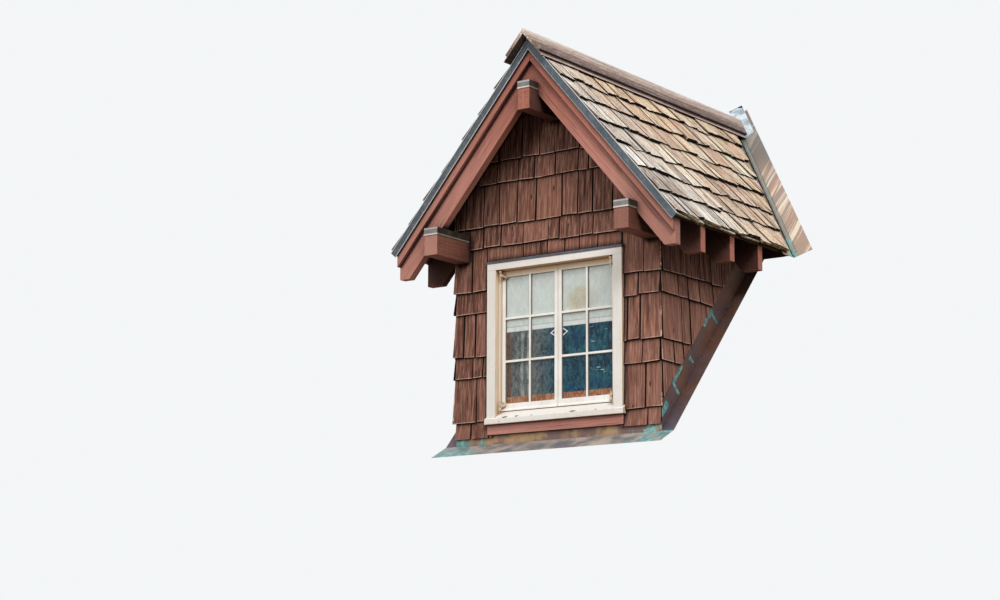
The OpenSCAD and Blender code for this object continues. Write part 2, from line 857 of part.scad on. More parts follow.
// Four surface hinges at the outer corners of the casements
module sash_hinges() {
    x = jamb_x - hinge_t - knuckle_d / 2;
    y = sash_y - hinge_t - knuckle_d / 2;
    color(cream) for (m = [0, 1], z = [leaf_z + hinge_inset, leaf_z + leaf_h - hinge_inset - knuckle_h])
        mirror([m, 0, 0]) translate([0, 0, z]) {
            translate([x, y, 0]) cylinder(d = knuckle_d, h = knuckle_h);
            translate([0, 0, hinge_t]) linear_extrude(knuckle_h - 2 * hinge_t) {
                translate([x - hinge_w, sash_y - hinge_t]) square([hinge_w, hinge_t]);
                translate([x, y]) square([hinge_t, sash_y - y - 0.5 * hinge_t]);
                translate([x, y - hinge_t / 2]) square([jamb_x - x, hinge_t]);
                translate([jamb_x - hinge_t, front_y + hinge_t])
                    square([hinge_t, y + hinge_t / 2 - front_y - hinge_t]);
            }
        }
}

// Wooden stool that stands behind the glass
module window_stool() {
    color("#8a5a3c") {
        translate([-frame_x, back_y, sill_back_z - sill_t])
            cube([2 * frame_x, stool_t, stool_h + sill_t]);
        translate([-frame_x, back_y, sill_back_z + stool_h])
            cube([2 * frame_x, 2.4 * stool_t, stool_t]);
    }
}

blind_x = jamb_x - blind_gap;
roller_y = blind_y + roller_d / 2;
roller_z = head_z - roller_d / 2 - stop_t;

module blind_roller() {
    color("#d8d4c8") translate([-jamb_x, roller_y, roller_z])
        rotate([0, 90, 0]) cylinder(d = roller_d, h = 2 * jamb_x);
}

module blind_cloth() {
    color("#e4e6e2") translate([-blind_x, blind_y - cloth_t, blind_z + hem_h])
        cube([2 * blind_x, cloth_t, roller_z - blind_z - hem_h]);
}

// Hem bar of the blind with its lozenge-shaped pull
module blind_hem_bar() {
    middle = blind_y - cloth_t / 2;
    color("#f0f0ec") {
        translate([-blind_x, middle - hem_t / 2, blind_z]) cube([2 * blind_x, hem_t, hem_h]);
        along_y(middle - pull_t / 2, middle + pull_t / 2)
            translate([0, blind_z - pull_h / 2 + pull_ring]) difference() {
                lozenge(pull_w, pull_h);
                lozenge(pull_w - 4 * pull_ring, pull_h - 2 * pull_ring);
            }
    }
}

module lozenge(w, h) {
    polygon([[-w / 2, 0], [0, -h / 2], [w / 2, 0], [0, h / 2]]);
}

front_wall();
cheek_walls();
ridge_beam();
plate_beams();
beam_caps();
left() rafters();  // left_rafters
rafters();  // right_rafters
eave_blocks();
left() valley_plate();  // left_valley_plate
valley_plate();  // right_valley_plate
left() roof_deck();  // left_roof_deck
roof_deck();  // right_roof_deck
left() barge_board();  // left_barge_board
barge_board();  // right_barge_board
left() rake_trim();  // left_rake_trim
rake_trim();  // right_rake_trim
left() drip_edge();  // left_drip_edge
drip_edge();  // right_drip_edge
left() roof_shakes();  // left_roof_shakes
roof_shakes();  // right_roof_shakes
left() ridge_board();  // left_ridge_board
ridge_board();  // right_ridge_board
left() valley_flashing();  // left_valley_flashing
valley_flashing();  // right_valley_flashing
saddle_cap();
front_shingles();
left() cheek_shingles();  // left_cheek_shingles
cheek_shingles();  // right_cheek_shingles
base_flashing();
step_flashings();
apron_board();
window_frame();
window_sill();
side_casings();
head_casing();
head_flashing();
left() sash();  // left_sash
sash();  // right_sash
window_glass();
sash_hinges();
window_stool();
blind_roller();
blind_cloth();
blind_hem_bar();
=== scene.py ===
import json
import math
import random
from types import SimpleNamespace

import bmesh
import bpy
from mathutils import Matrix, Vector


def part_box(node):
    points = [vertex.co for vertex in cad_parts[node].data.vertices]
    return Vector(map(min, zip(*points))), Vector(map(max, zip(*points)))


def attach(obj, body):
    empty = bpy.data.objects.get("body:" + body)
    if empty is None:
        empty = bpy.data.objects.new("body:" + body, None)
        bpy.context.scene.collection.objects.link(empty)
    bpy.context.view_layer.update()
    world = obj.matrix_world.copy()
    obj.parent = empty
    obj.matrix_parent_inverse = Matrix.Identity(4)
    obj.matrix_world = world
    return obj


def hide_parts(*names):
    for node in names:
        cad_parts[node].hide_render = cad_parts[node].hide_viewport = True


# Finish of a gabled dormer window: shingled walls, shake roof, painted timber and sheet metal.
# All lengths are metres. X runs right along the front wall, Y back into the roof and Z up.
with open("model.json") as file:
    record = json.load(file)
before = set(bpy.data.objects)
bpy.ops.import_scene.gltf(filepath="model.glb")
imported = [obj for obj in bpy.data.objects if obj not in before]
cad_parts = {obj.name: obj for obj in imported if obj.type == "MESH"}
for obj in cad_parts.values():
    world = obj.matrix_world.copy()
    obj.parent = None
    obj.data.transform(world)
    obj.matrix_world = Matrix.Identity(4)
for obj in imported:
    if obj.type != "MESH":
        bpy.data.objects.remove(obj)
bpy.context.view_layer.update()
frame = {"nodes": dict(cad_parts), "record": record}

X, Y, Z = (1, 0, 0), (0, 1, 0), (0, 0, 1)
FRONT, DOWN = (0, -1, 0), (0, 0, -1)
LEFT, RIGHT = -1, 1
HANDS = ((LEFT, "left_"), (RIGHT, "right_"))

# Slopes of the dormer roof and of the main roof
ROOF_PITCH = math.radians(49.4)
MAIN_PITCH = math.radians(47.2)
RT, RC, RS = math.tan(ROOF_PITCH), math.cos(ROOF_PITCH), math.sin(ROOF_PITCH)
MT, MC, MS = math.tan(MAIN_PITCH), math.cos(MAIN_PITCH), math.sin(MAIN_PITCH)

# Faces of the walls and height of the ridge
WALL_LOW, WALL_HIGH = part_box("front_wall")
CHEEK_X, FRONT_Y, RIDGE_Z = WALL_HIGH.x, WALL_LOW.y, WALL_HIGH.z

# Layers of the roof, square to the slope from the rafters' top edges
SHAKE_BASE = 0.027
SHAKE_BUTT = 0.071
SHAKE_STEP = 0.020
EXPOSURE = 0.251
TAILS_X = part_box("right_rafters")[1].x
EAVE_X = TAILS_X + 0.047
EAVE_S = (EAVE_X - (SHAKE_BASE + SHAKE_BUTT) / 2 * RS) / RC
TAIL_X = TAILS_X - 0.02
DRIP_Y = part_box("right_drip_edge")[0].y
RAKE_Y = DRIP_Y + 0.006
SHAKES_END_Y = 2.7
VALLEY_GAP = 0.095
RIDGE_BOARD = 0.140
RIDGE_TOP = 0.088
DRIP_RIM = 0.050
DRIP_FOOT = -0.008

# Wall shingles: thickness at the butt and where the next course covers it, and course heights
SHINGLE_BUTT = 0.024
SHINGLE_LAP = 0.010
COURSE_NARROW = 0.1645
COURSE_WIDE = 0.326
COURSE_Z1 = 0.1175
FOOT_Z = -0.009
STEP_SHOW = 0.160

# Widths of the boards of walls and roof, and room that the shingles leave behind the casings
WALL_BOARD = 0.145
ROOF_BOARD = 0.140
CASING_HIDE = 0.035

# Depth of the panes in their grooves, putty that shows beside the bars, and the blind's waves
GLASS_BITE = 0.005
PUTTY_WIDTH = 0.003
WEATHER_BAR = 0.010
BLIND_WAVE = 0.005

# Face of the casements, underside of the window's head, and the pins that the casements turn on
SASH_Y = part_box("left_sash")[0].y
HEAD_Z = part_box("head_casing")[0].z
PIN_X, PIN_Y = 0.489, -0.074

# Half the width and height of the lozenge that shows under the blind, and its middle
PULL_HALF_W, PULL_HALF_H, PULL_Z = 0.080, 0.052, 0.736

# Bright glints in the panes on the right, and the tan stain on the blind
PANE_GLINTS = ((0.343, 0.447), (0.377, 0.427), (0.296, 0.641))
STAIN_X, STAIN_Z = 0.18, 0.96

# Chips in the sill's paint: place along it, and half the length
SILL_CHIPS = ((-0.430, 0.030), (-0.325, 0.016), (0.172, 0.032))

# Patina on the step flashings: from and to along the main roof's slope, then square to it
STEP_PATINA = (
    (1.080, 1.105, 0.020, 0.140), (0.930, 1.115, 0.118, 0.150), (0.275, 0.300, 0.015, 0.140),
    (0.285, 0.480, 0.118, 0.150), (0.590, 0.625, 0.050, 0.110), (-0.020, 0.120, 0.060, 0.110),
)


def roof_line(x, h):
    """Height above x of the plane that lies h square to the dormer roof's slope."""
    return RIDGE_Z + h / RC - abs(x) * RT


def srgb(*seen):
    """The linear values of a colour that is seen as 0 to 255."""
    shares = [c / 255 for c in seen]
    return tuple(c / 12.92 if c <= 0.04045 else ((c + 0.055) / 1.055) ** 2.4 for c in shares) + (1,)


def operation(kind):
    """A method that adds a maths node."""
    return lambda self, *others: self.tree.math(kind, self, *others)


class Value:
    """An output of a node, which can be used like a number."""

    def __init__(self, tree, socket):
        self.tree = tree
        self.socket = socket

    __add__ = __radd__ = operation("ADD")
    __sub__ = operation("SUBTRACT")
    __mul__ = __rmul__ = operation("MULTIPLY")
    __truediv__ = operation("DIVIDE")
    __lt__ = operation("LESS_THAN")
    __gt__ = operation("GREATER_THAN")
    __abs__ = operation("ABSOLUTE")
    floor = operation("FLOOR")
    ceil = operation("CEIL")
    fract = operation("FRACT")
    sine = operation("SINE")
    most = operation("MAXIMUM")

    def __rsub__(self, other):
        return self.tree.math("SUBTRACT", other, self)

    def step(self, low, high, to_low=0.0, to_high=1.0):
        """A smooth step from to_low to to_high between low and high."""
        inputs = dict(enumerate((self, low, high, to_low, to_high)))
        return self.tree.node("ShaderNodeMapRange", inputs, interpolation_type="SMOOTHSTEP")


NUMBER, VECTOR = "NodeSocketFloat", "NodeSocketVector"
GEOMETRY, MATERIAL = "NodeSocketGeometry", "NodeSocketMaterial"
KINDS = {float: NUMBER, int: "NodeSocketInt"}
GROUPS = {}
FINISHES = {}


class Tree:
    """A node tree with a short call for each kind of node."""

    def __init__(self, made):
        self.made = made
        self.nodes = made.nodes

    def feed(self, socket, value):
        """Links or sets a socket. Three numbers are a colour as it is seen."""
        if isinstance(value, Value):
            self.made.links.new(value.socket, socket)
        elif value is not None:
            socket.default_value = srgb(*value) if isinstance(value, tuple) else value

    def node(self, kind, inputs=(), output=0, **settings):
        made = self.nodes.new(kind)
        for key, value in settings.items():
            setattr(made, key, value)
        for key, value in dict(inputs).items():
            self.feed(made.inputs[key], value)
        return Value(self, made.outputs[output])

    def named(self, made):
        """A node's outputs by their names in small letters, with _ for a space."""
        outputs = {out.name.lower().replace(" ", "_"): Value(self, out) for out in made.outputs if out.name}
        return SimpleNamespace(**outputs)

    def sockets(self, inputs, outputs, kind):
        """Makes a group's sockets, from plain values or kinds, and returns its inputs."""
        make = self.made.interface.new_socket
        for name, value in inputs.items():
            if isinstance(value, str):
                make(name, in_out="INPUT", socket_type=value)
            else:
                make(name, in_out="INPUT", socket_type=KINDS[type(value)]).default_value = value
        for name in outputs:
            make(name, in_out="OUTPUT", socket_type=kind)
        self.end = self.nodes.new("NodeGroupOutput")
        return self.named(self.nodes.new("NodeGroupInput"))

    def math(self, kind, *values):
        return self.node("ShaderNodeMath", dict(enumerate(values)), operation=kind)

    def vector(self, x, y, z):
        return self.node("ShaderNodeCombineXYZ", {0: x, 1: y, 2: z})

    def vector_math(self, kind, first, second=None, output=0):
        return self.node("ShaderNodeVectorMath", {0: first, 1: second}, output, operation=kind)

    def xyz(self, vector=None):
        """The three parts of a vector, or of the point's place."""
        made = self.nodes.new("ShaderNodeSeparateXYZ")
        self.feed(made.inputs[0], vector or self.place())
        return [Value(self, out) for out in made.outputs]

    def noise(self, scale, detail=2.0, roughness=0.5, distortion=0.0, at=None):
        """Noise at the point's place or at a vector, stretched by three scales."""
        vector = at or self.place()
        if isinstance(scale, tuple):
            vector = self.vector_math("MULTIPLY", vector, self.vector(*scale))
            scale = 1.0
        inputs = {"Scale": scale, "Detail": detail, "Roughness": roughness, "Distortion": distortion}
        return self.node("ShaderNodeTexNoise", {"Vector": vector, **inputs})

    def mix(self, first, second, share):
        """Two colours mixed, with share of the second."""
        return self.node("ShaderNodeMix", {0: share, 6: first, 7: second}, 2, data_type="RGBA")

    def attribute(self, name):
        return self.node("ShaderNodeAttribute", output="Vector", attribute_name=name)

    def place(self):
        """The point's own place in the object's frame."""
        return self.node("ShaderNodeTexCoord", output="Object")


def shader_group(inputs, *outputs):
    """Makes a function of a tree and its inputs into a shader group."""

    def build(function):
        tree = Tree(bpy.data.node_groups.new(function.__name__, "ShaderNodeTree"))
        given = tree.sockets(inputs, outputs, NUMBER)
        for name, value in zip(outputs, function(tree, given)):
            tree.feed(tree.end.inputs[name], value)
        GROUPS[function.__name__] = tree.made
        return function

    return build


@shader_group({"Vector": VECTOR, "Pitch": 200.0, "Stretch": 16.0}, "Fine", "Streak", "Band", "Crack")
def wood_grain(tree, given):
    """Fibres along Y: fine lines, wider streaks, bands of tone and dark cracks."""

    def lines(across, along, detail):
        across = given.pitch * across
        along = given.pitch / given.stretch * along
        return tree.noise((across, along, across), detail, 0.6, 0.3, given.vector)

    return (
        lines(1.0, 1.0, 4.0).step(0.3, 0.7), lines(0.42, 0.4, 3.0).step(0.36, 0.62),
        lines(0.16, 0.2, 2.0).step(0.3, 0.7), lines(0.45, 0.22, 2.0).step(0.60, 0.68),
    )


@shader_group({"Vector": VECTOR, "Width": 0.006, "Amount": 1.0}, "Mask")
def edge_wear(tree, given):
    """Broken wear along the outer edges, within a width; on sheet metal it is also a painted highlight."""
    soft = tree.node("ShaderNodeBevel", {"Radius": given.width}, samples=4)
    hard = tree.node("ShaderNodeNewGeometry", output="Normal")
    turn = tree.vector_math("DOT_PRODUCT", soft, hard, 1)
    broken = tree.noise(34.0, 4.0, 0.7, at=given.vector)
    return [(1 - turn).step(0.02, 0.16) * broken.step(0.40, 0.58) * given.amount]


@shader_group({"Vector": VECTOR, "Reach": 0.03, "Open": 0.85, "Shut": 0.35}, "Corner", "Run", "Cloud")
def weathering(tree, given):
    """Painted shade in corners, where ambient occlusion finds nearby surfaces, and dirt that runs down in
    streaks and lies in clouds.
    """
    # The Corner output is painted shade, not dirt
    reached = tree.node("ShaderNodeAmbientOcclusion", {"Distance": given.reach}, 1, samples=6)
    runs = tree.noise((42.0, 42.0, 2.6), 3.0, 0.6, at=given.vector)
    cloud = tree.noise(3.2, 4.0, 0.6, at=given.vector)
    return reached.step(given.open, given.shut), runs.step(0.52, 0.72), cloud.step(0.38, 0.66)


class Finish(Tree):
    """A material, and the colour that its layers build up."""

    def __init__(self, name):
        FINISHES[name] = bpy.data.materials.new(name)
        FINISHES[name].use_nodes = True
        super().__init__(FINISHES[name].node_tree)

    def group(self, name, **inputs):
        """A shader group placed with its own values, and its outputs."""
        made = self.nodes.new("ShaderNodeGroup")
        made.node_tree = GROUPS[name]
        for key, value in inputs.items():
            self.feed(made.inputs[key], value)
        return self.named(made)

    def wood(self, pitch, stretch, at=None):
        return self.group("wood_grain", Vector=at or self.attribute("grain"), Pitch=pitch, Stretch=stretch)

    # Painted shade in corners, with dirt in runs and clouds
    def weather(self, reach, free=0.85, shut=0.35):
        return self.group("weathering", Vector=self.place(), Reach=reach, Open=free, Shut=shut)

    def wear(self, width, amount=1.0):
        return self.group("edge_wear", Vector=self.place(), Width=width, Amount=amount).mask

    def facing(self):
        """The three parts of the direction that the surface faces."""
        return self.xyz(self.node("ShaderNodeNewGeometry", output="Normal"))

    def base(self, first, second, share):
        """Starts from two colours mixed, with share of the second."""
        self.colour = self.mix(first, second, share)

    def ramp(self, value, *stops):
        """Starts from a colour that runs through stops, each a place and a colour."""
        made = self.nodes.new("ShaderNodeValToRGB")
        points = made.color_ramp.elements
        for place, *colour in stops[2:]:
            points.new(place)
        for point, (place, *colour) in zip(points, stops):
            point.position = place
            point.color = srgb(*colour)
        self.feed(made.inputs[0], value)
        self.colour = Value(self, made.outputs[0])
        return self.colour

    def lay(self, *layers):
        """Lays colours on, each with its share in front."""
        for share, *colour in layers:
            self.base(self.colour, tuple(colour) if colour[1:] else colour[0], share)

    def done(self, height, relief, roughness, **more):
        """Feeds the shader its colour, bump if there is a height, roughness and other sockets."""
        more.update(Base_Color=self.colour, Roughness=roughness)
        if height:
            inputs = {"Height": height, "Distance": relief, "Strength": 1.0}
            more["Normal"] = self.node("ShaderNodeBump", inputs)
        for name, value in more.items():
            self.feed(self.nodes["Principled BSDF"].inputs[name.replace("_", " ")], value)


def material(build):
    """Makes the finish that a function builds, under the function's name."""
    build(Finish(build.__name__))


@material
def stained_shingle(tree):
    """Red-brown stain, worn along the grain and at the wall's corners, pale at the butts from wear and a
    painted highlight, with a painted highlight on each shingle's left edge, painted light on the right, and
    painted shade on the left, under the eaves, on butt and side faces and in corners.
    """
    grain = tree.attribute("grain")
    tone, along, across = tree.xyz(tree.attribute("shade"))
    x, y, z = tree.xyz()
    wood = tree.wood(125, 22)
    weather = tree.weather(0.05, 0.97, 0.7)
    tree.ramp(tone, (0, 88, 54, 43), (0.3, 112, 71, 59), (0.65, 130, 85, 71), (1, 160, 110, 92))
    under = (roof_line(0, 0) - abs(x) * RT - z) * RC
    rough = (tone * 7).fract().step(0.3, 0.95, 0.06, 0.42)
    cells = tree.vector_math("MULTIPLY", grain, tree.vector(9, 3.2, 9))
    knots = tree.node("ShaderNodeTexVoronoi", {"Vector": cells, "Scale": 1.0})
    worn_and_lit_butts = along.step(0.008, 0.003) * along.step(0, 0.001)
    stretches = tree.noise(7, 2).step(0.36, 0.52, 0.3, 1)
    lit_side = across.step(0.06, 0.02)
    at_corner = abs(x).step(0.908, 0.914) * y.step(FRONT_Y - 0.004, FRONT_Y - 0.01)
    specks = tree.noise((30, 30, 18), 4, 0.7).step(0.5, 0.56)
    sides = abs(across - 0.5).step(0.49, 0.4995)
    height = wood.fine * 0.4 + wood.streak * rough - wood.crack * 1.2
    tree.lay(
        (weather.cloud * 0.35, 88, 54, 45),
        # Painted light: lighter towards the right
        ((x - under * 0.1).step(-0.1, 0.8) * 0.3, 186, 134, 116),
        # Painted shade: darker towards the left
        (x.step(-0.2, -0.8) * 0.18, 88, 54, 46),
        # Painted shade under the eaves, darker nearer the roof
        (under.step(0.75, 0.15) * 0.62, 52, 31, 26),
        ((1 - wood.streak) * rough, 60, 34, 28),
        ((1 - wood.fine) * (0.12 + rough * 0.5), 62, 36, 29),
        (wood.streak * wood.fine * 0.46, 214, 162, 138),
        (wood.crack * rough * 1.3, 40, 23, 18),
        (knots.step(0.1, 0.05) * 0.8, 48, 27, 22),
        # Pale butts: wear, and a painted highlight
        (worn_and_lit_butts * stretches * (0.35 + wood.fine * 0.55), 226, 184, 164),
        (lit_side * 0.4, 182, 132, 114),
        (at_corner * specks * 0.9, 232, 200, 178),
        # Painted shade: butt faces and side faces nearly black
        (along.step(0.0008, 0).most(sides) * 0.97, 12, 7, 6),
        # Painted shade in corners and under the butts
        (weather.corner * 0.97, 12, 7, 6),
    )
    tree.done(height, 0.0016, wood.fine.step(0, 1, 0.86, 0.7), Specular_IOR_Level=0.15)


@material
def cedar_shake(tree):
    """Cedar, silver-grey near rake and eave, tan and golden towards the valley, with a painted highlight
    above each butt and painted shade on the butt faces and in corners.
    """
    grain = tree.attribute("grain")
    tone, along, across = tree.xyz(tree.attribute("shade"))
    x, y, z = tree.xyz()
    wood = tree.wood(118, 24)
    weather = tree.weather(0.04, 0.9, 0.5)
    fresh = tree.ramp(tone, (0, 190, 132, 84), (0.3, 240, 198, 150), (0.6, 222, 168, 130), (1, 255, 234, 196))
    tree.ramp(tone, (0, 162, 140, 124), (0.4, 216, 200, 184), (0.75, 228, 212, 198), (1, 250, 244, 234))
    drift = tree.noise((5, 1.4, 5), 3, at=grain) * 0.7
    kept = (y + drift + z.step(1.4, 2.8) * 0.7 + tone * 0.5).step(0.62, 1.75)
    from_ridge = abs(x) / RC
    golden = (from_ridge + drift).step(0.95, 0.55) * y.step(-0.2, 0.3)
    rough = (tone * 7).fract().step(0.1, 0.9, 0.25, 0.75)
    flecks = tree.noise((120, 46, 120), 3, 0.7, at=grain)
    sides = abs(across - 0.5)
    at_eave = z.step(roof_line(EAVE_X, 0) + 0.095, roof_line(EAVE_X, 0) + 0.075)
    butt = along.step(0.001, 0)
    side_y = tree.facing()[1]
    at_rake = y.step(RAKE_Y + 0.02, RAKE_Y + 0.01) * side_y.step(-0.7, -0.95)
    lit_butt_edge = along.step(0.012, 0.005) * along.step(0.001, 0.003)
    moss = tree.mix((172, 150, 96), (104, 92, 52), wood.band.step(0.3, 0.7))
    height = wood.fine * 0.6 + wood.streak * 0.8 - wood.crack * 1.6
    tree.lay(
        (kept, fresh),
        (golden * 0.4, 236, 190, 118),
        ((1 - wood.streak) * rough, 118, 88, 68),
        (wood.streak * wood.fine * 0.7, 255, 252, 244),
        (wood.crack, 46, 33, 27),
        (flecks.step(0.5, 0.66) * 0.42, 84, 60, 44),
        (flecks.step(0.48, 0.36) * 0.34, 255, 250, 238),
        (sides.step(0.47, 0.5) * 0.4, 84, 64, 52),
        (at_rake * 0.85, 84, 50, 36),
        # Painted highlight just above each butt
        (lit_butt_edge * (0.15 + wood.fine * 0.45), 255, 244, 222),
        # Painted shade: butt faces nearly black, except at the eave
        (butt * (1 - at_eave) * 0.97, 20, 14, 11),
        (at_eave * (butt * 0.75 + weather.cloud * 0.2), moss),
        # Painted shade in corners and under the butts
        (weather.corner * (1 - at_eave * 0.5) * 0.94, 14, 10, 8),
    )
    tree.done(height, 0.0024, wood.fine.step(0, 1, 0.92, 0.78), Specular_IOR_Level=0.2)


def brick_red_paint(name, dark, light, high, in_roof_shade=False, end_colour=None):
    """Red-brown paint, faded in clouds and rubbed at the edges, with painted light on the left, and painted
    shade on the right, in corners and along joints; under the roof, painted shade on fronts deep in, and
    painted light on beam ends and rafter tail ends.
    """
    tree = Finish(name)
    tone = tree.xyz(tree.attribute("shade"))[0]
    x, y, z = tree.xyz()
    wood = tree.wood(210, 24)
    weather = tree.weather(0.4, 0.86, 0.34)
    tree.base(dark, light, tone)
    tree.lay(
        (z.step(1.5, 2.6) * 0.75, high),
        # Painted light: lighter towards the left, less under the roof
        (x.step(0.1, -0.8) * (0.05 if in_roof_shade else 0.25), 216, 164, 148),
        # Painted shade: darker towards the right
        (x.step(0.5, 1.1) * 0.3, 104, 62, 52),
        (z.step(0.2, 0.1) * 0.4, 218, 158, 144),
        (weather.cloud * 0.3, 180, 122, 106),
        ((1 - wood.streak) * 0.22, 92, 52, 44),
        (wood.crack * 0.5, 84, 46, 39),
        (weather.run * wood.fine * 0.3, 190, 134, 116),
    )
    side_x, side_y, _ = tree.facing()
    front = side_y.step(-0.9, -0.99)
    if in_roof_shade:
        # Painted shade on fronts deep under the roof, and painted light on the beam ends
        deep_shade = y.step(-0.34, -0.3)
        lit_tips = front * (1 - deep_shade) * x.step(0.5, -0.4, 0.16, 0.42)
        tree.lay((front * deep_shade * 0.5, 50, 30, 25), (lit_tips, 216, 162, 148))
    if end_colour:
        ring = tree.noise((26, 1, 90), 3)
        end = tree.mix(end_colour, (128, 74, 58), ring.step(0.45, 0.7) * 0.7)
        split = abs(x + 0.004).step(0.004, 0.002)
        end = tree.mix(end, (196, 150, 128), split * 0.5)
        tree.lay((front * 0.85, end))
    wear = tree.wear(0.006)
    tree.lay(
        (tree.noise(22, 4, 0.7).step(0.6, 0.7) * 0.3, 196, 118, 82),
        (wear * 0.75, 210, 156, 134),
        # Painted shade in corners
        (weather.corner * 0.8, 34, 20, 17),
    )
    if in_roof_shade:
        # Painted light on the rafters' tail ends
        lit_tail_ends = abs(x).step(TAIL_X - 0.02, TAIL_X) * abs(side_x).step(0.9, 0.99)
        tree.lay((lit_tail_ends * 0.55, 214, 138, 116))
    # Painted shadow along joints, darker on the left
    joint_shadow = tree.weather(0.035, 0.86, 0.55).corner
    tree.lay((joint_shadow * x.step(0.2, -0.2, 0.55, 0.95), 30, 14, 10))
    height = wood.fine * 0.3 + wood.streak * 0.4 - wood.crack - wear * 0.6
    tree.done(height, 0.001, weather.cloud.step(0, 1, 0.66, 0.8), Specular_IOR_Level=0.3)


def cream_paint(name, light, reveal_shade_share, reach):
    """Cream paint, chipped, with painted shade: tan on reveals, under the head and in corners, and darker tan
    on faces that look down.
    """
    tree = Finish(name)
    x, y, z = tree.xyz()
    wood = tree.wood(230, 26)
    weather = tree.weather(reach, 0.62, 0.3)
    _, side_y, side_z = tree.facing()
    tree.base(light, (232, 225, 214), weather.cloud * 0.7)
    reveal_shade = abs(side_y).step(0.6, 0.3) * side_z.step(0.5, 0.2)
    head_shadow = z.step(HEAD_Z - 0.06, HEAD_Z - 0.03) * y.step(FRONT_Y - 0.01, FRONT_Y + 0.005)
    on_sill = z.step(0.165, 0.15)
    chips = tree.noise((16, 26, 60), 3, 0.6) + on_sill * 0.04
    chips = chips.step(0.71, 0.73) * (0.25 + on_sill * 0.75)
    broken = (tree.noise(60, 3, 0.7) - 0.5) * 1.2
    for chip_x, half in SILL_CHIPS:
        away = abs((x - chip_x) / half) + abs((z - 0.13) / 0.0075)
        chips = chips.most((away + broken).step(1.15, 0.9))
    tree.lay(
        # Painted shade: tan on reveals, darker tan on faces that look down, tan under the head
        (reveal_shade * reveal_shade_share, 232, 200, 152),
        (side_z.step(-0.4, -0.9) * reveal_shade_share, 190, 140, 82),
        (head_shadow * 0.65, 214, 178, 126),
        (wood.crack * 0.35, 206, 188, 158),
        (weather.run * 0.2, 216, 200, 170),
        (tree.wear(0.0015, 0.6) * 0.35, 160, 134, 106),
        (chips * 0.92, 72, 54, 44),
        # Painted shade in corners
        (weather.corner * 0.8, 176, 130, 84),
    )
    height = wood.fine * 0.3 - chips * 0.8 - wood.crack * 0.5
    tree.done(height, 0.0008, weather.cloud.step(0, 1, 0.42, 0.58))


@material
def glazing_putty(tree):
    """Putty round the panes, a little greyer than the sash, and cracked."""
    speck = tree.noise(70, 3, 0.7)
    split = tree.noise((150, 20, 150), 2)
    side_x, _, side_z = tree.facing()
    tree.base((246, 242, 234), (228, 220, 204), speck.step(0.4, 0.7))
    shaded = side_x.step(0.5, 0.8).most(side_z.step(-0.5, -0.8) * 0.7)
    tree.lay((split.step(0.72, 0.76) * 0.6, 120, 104, 84), (shaded * 0.85, 78, 72, 66))
    tree.done(speck, 0.0008, 0.6)


@material
def wall_boarding(tree):
    """Rough boards of the walls with dark joints, their outer faces painted nearly black as shade behind the
    shingles' gaps.
    """
    x, y, z = tree.xyz()
    board = (z + 10) / WALL_BOARD
    number = board.floor()
    wood = tree.wood(180, 20, tree.vector(z, x + y + number * 0.37, number * 1.7))
    tree.base((120, 86, 64), (162, 122, 90), wood.band)
    joint = abs(board.fract() - 0.5).step(0.485, 0.497)
    at_cheek = abs(x).step(CHEEK_X - 0.002, CHEEK_X - 0.001)
    # Painted shade: outer faces, seen only through the shingles' gaps, nearly black
    outside = y.step(FRONT_Y + 0.002, FRONT_Y + 0.001).most(at_cheek)
    tree.lay(
        ((1 - wood.streak) * 0.45, 84, 58, 44), (joint * 0.85, 38, 26, 20), (outside * 0.9, 24, 16, 13),
    )
    tree.done(wood.fine * 0.4 - joint * 2, 0.002, 0.85)


@material
def bare_softwood(tree):
    """Sawn roof boards along the eaves, dark, with painted shade in corners and between the rafters."""
    x, y, _ = tree.xyz()
    board = abs(x) / (ROOF_BOARD * RC)
    number = board.floor()
    wood = tree.wood(180, 20, tree.vector(board * ROOF_BOARD, y + number * 0.61, number * 1.7))
    tree.base((88, 55, 43), (118, 79, 59), wood.band)
    joint = abs(board.fract() - 0.5).step(0.48, 0.495)
    tree.lay(
        ((1 - wood.streak) * 0.45, 60, 38, 30),
        (joint * 0.9, 24, 18, 16),
        # Painted shade in corners and between the rafters
        (tree.weather(0.2).corner * 0.8, 26, 17, 14),
    )
    tree.done(wood.fine * 0.4 - joint * 2, 0.002, 0.85)


@material
def weathered_board(tree):
    """Ridge boards: pale above, from bleaching and a painted highlight along the top, red-brown below, with a
    pink-grey strip under them, and painted shade on faces that look down and in corners.
    """
    grain = tree.attribute("grain")
    down = abs(tree.xyz()[0]) / (RIDGE_BOARD * RC + RIDGE_TOP * RS)
    wood = tree.wood(140, 34)
    ragged = down + (tree.noise((40, 3, 40), 3, at=grain) - 0.5) * 0.18
    # Pale towards the ridge: bleaching, and a painted highlight along the top
    tree.ramp(
        ragged, (0, 236, 222, 212), (0.16, 216, 194, 180), (0.48, 172, 144, 128), (0.6, 116, 88, 78),
        (0.95, 98, 70, 62),
    )
    strip = tree.mix((172, 142, 136), (206, 176, 162), wood.band)
    flecks = tree.noise((150, 16, 150), 3, 0.7, at=grain)
    height = wood.fine * 0.5 + wood.streak * 0.5 - wood.crack * 1.5
    tree.lay(
        (down.step(1, 1.01), strip),
        (flecks.step(0.48, 0.34) * 0.45, 236, 222, 210),
        (flecks.step(0.5, 0.64) * 0.5, 64, 44, 38),
        (wood.streak * wood.fine * 0.25, 236, 222, 210),
        ((1 - wood.streak) * 0.35, 78, 56, 50),
        (wood.crack * 0.7, 52, 38, 33),
        (tree.wear(0.008) * down.step(0.5, 0.1), 222, 204, 188),
        # Painted shade on faces that look down
        (tree.facing()[2].step(0, -0.5) * 0.85, 44, 32, 28),
        # Painted shade in corners
        (tree.weather(0.03).corner * 0.8, 26, 18, 16),
    )
    tree.done(height, 0.0018, 0.86)


